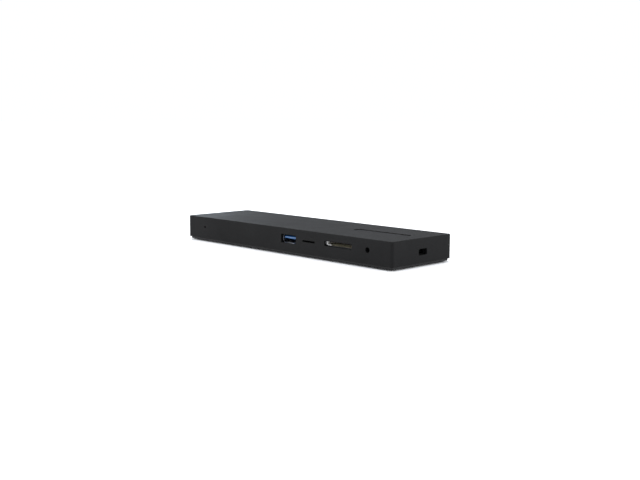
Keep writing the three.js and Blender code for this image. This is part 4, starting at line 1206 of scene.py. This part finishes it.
def raw(name, verts, faces):
    me = bpy.data.meshes.new(name)
    me.from_pydata([tuple(c * MM for c in v) for v in verts], [], faces)
    bm = bmesh.new()
    bm.from_mesh(me)
    bmesh.ops.recalc_face_normals(bm, faces=bm.faces)
    bm.to_mesh(me)
    bm.free()
    o = bpy.data.objects.new(name, me)
    bpy.context.scene.collection.objects.link(o)
    return o


def screw(node, down):
    """A pan-head screw: down is -1 with the head below (housing), +1 with the head above (board)."""
    lo, hi = (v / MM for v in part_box(node))
    cx, cy = (lo.x + hi.x) / 2, (lo.y + hi.y) / 2
    length = hi.z - lo.z
    r_head = (hi.x - lo.x) / 2
    co = [v.co / MM for v in NODES[node].data.vertices]
    shank = min(math.hypot(c.x - cx, c.y - cy) for c in co if (c.z > hi.z - 0.3 if down < 0 else c.z < lo.z + 0.3) and math.hypot(c.x - cx, c.y - cy) > 0.2)
    wide = [c.z for c in co if math.hypot(c.x - cx, c.y - cy) > r_head * 0.9]
    t_head = max(wide) - lo.z if down < 0 else hi.z - min(wide)
    t_head = max(0.5, min(t_head, 1.6))
    prof = [(0.0, 0.0), (r_head * 0.55, 0.02), (r_head * 0.86, 0.1), (r_head * 0.98, 0.28), (r_head, 0.45), (r_head, t_head - 0.05), (r_head * 0.97, t_head)]
    prof += [(shank, t_head)]
    z = t_head + 0.2
    pitch = 0.42
    while z < length - 0.6:
        prof += [(shank, z), (shank * 0.84, z + pitch * 0.5)]
        z += pitch
    prof += [(shank * 0.84, z), (shank * 0.6, length - 0.1), (0.0, length)]
    n = 28
    verts, faces = [], []
    for r, h in prof:
        for i in range(n):
            a = 2 * math.pi * i / n
            zz = lo.z + h if down < 0 else hi.z - h
            verts.append((cx + max(r, 1e-3) * math.cos(a), cy + max(r, 1e-3) * math.sin(a), zz))
    for j in range(len(prof) - 1):
        faces += [(j * n + i, j * n + (i + 1) % n, (j + 1) * n + (i + 1) % n, (j + 1) * n + i) for i in range(n)]
    faces += [tuple(range(n)), tuple((len(prof) - 1) * n + i for i in range(n))]
    o = raw(f"{node}_threaded", verts, faces)
    # The cross: two tapering arms sunk in the head.
    zt = lo.z if down < 0 else hi.z
    s = 1 if down < 0 else -1
    arm, half = r_head * 0.56, r_head * 0.13
    cross = [(arm, -half), (arm, half), (half, half), (half, arm), (-half, arm), (-half, half), (-arm, half), (-arm, -half), (-half, -half), (-half, -arm), (half, -arm), (half, -half)]
    cv, cf = [], []
    for k, d in ((1.08, -0.3), (1.0, 0.0), (0.45, min(0.85, t_head * 0.8))):
        cv += [(cx + x * k, cy + y * k, zt + s * d) for x, y in cross]
    m = len(cross)
    for j in range(2):
        cf += [(j * m + i, j * m + (i + 1) % m, (j + 1) * m + (i + 1) % m, (j + 1) * m + i) for i in range(m)]
    cf += [tuple(range(m)), tuple(2 * m + i for i in range(m))]
    boolean_cut(o, raw("cross_cutter", cv, cf))
    o.data.materials.clear()
    o.data.materials.append(SCREW)
    for p in o.data.polygons:
        p.use_smooth = True
        p.material_index = 0
    b = o.modifiers.new("bevel", "BEVEL")
    b.width = 0.04 * MM
    b.segments = 1
    b.limit_method = "ANGLE"
    b.angle_limit = math.radians(40)
    w = o.modifiers.new("normals", "WEIGHTED_NORMAL")
    w.keep_sharp = True
    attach(o, "dock")
    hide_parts(node)


for i in (1, 2, 3, 4):
    screw(f"housing_screw_{i}", -1)
    screw(f"board_screw_{i}", 1)


# ------------------------------------------------------------------ stage
def stage():
    sc = bpy.context.scene
    sc.view_settings.view_transform = "Standard"
    sc.view_settings.look = "None"
    sc.view_settings.exposure = 0.0
    sc.view_settings.gamma = 1.0
    bm = bmesh.new()
    bmesh.ops.create_grid(bm, x_segments=1, y_segments=1, size=14.0)
    me = bpy.data.meshes.new("floor")
    bm.to_mesh(me)
    bm.free()
    floor = bpy.data.objects.new("floor", me)
    sc.collection.objects.link(floor)
    m = Mat("floor_pale", (0.86, 0.86, 0.86), 0.9, spec=0.0)
    m.set_color(m.ramp(m.noise(3.0, 3.0), [(0.2, 0.85), (0.8, 0.88)]))
    me.materials.append(m.m)
    world = bpy.data.worlds.new("studio")
    sc.world = world
    world.use_nodes = True
    bg = world.node_tree.nodes["Background"]
    bg.inputs["Color"].default_value = (1.0, 1.03, 1.09, 1)
    bg.inputs["Strength"].default_value = 1.0

    def light(name, kind, loc, target, power, color=(1, 1, 1), **kw):
        d = bpy.data.lights.new(name, kind)
        for k, v in kw.items():
            setattr(d, k, v)
        d.energy = power
        d.color = color
        o = bpy.data.objects.new(name, d)
        sc.collection.objects.link(o)
        o.location = loc
        o.rotation_mode = "QUATERNION"
        o.rotation_quaternion = (Vector(target) - Vector(loc)).to_track_quat("-Z", "Y")
        o.visible_camera = False
        return o

    light("overhead", "SUN", (0, 0, 2), (0.05, 0.0, 0), 2.3, angle=math.radians(80))
    light("left_rear", "AREA", (-0.36, 0.14, 0.075), (-0.10, 0.0, 0.018), 0.25, (0.78, 0.90, 1.0), shape="RECTANGLE", size=0.10, size_y=0.08)
    light("left_front", "AREA", (-0.66, -0.70, 0.17), (0.0, 0.0, 0.01), 2.1, (1.0, 0.99, 0.97), shape="RECTANGLE", size=0.5, size_y=0.28)
    light("right_rear", "AREA", (0.66, 0.46, 0.20), (0.06, 0.0, 0.01), 1.6, (1.0, 1.0, 1.0), shape="RECTANGLE", size=0.4, size_y=0.28)


stage()
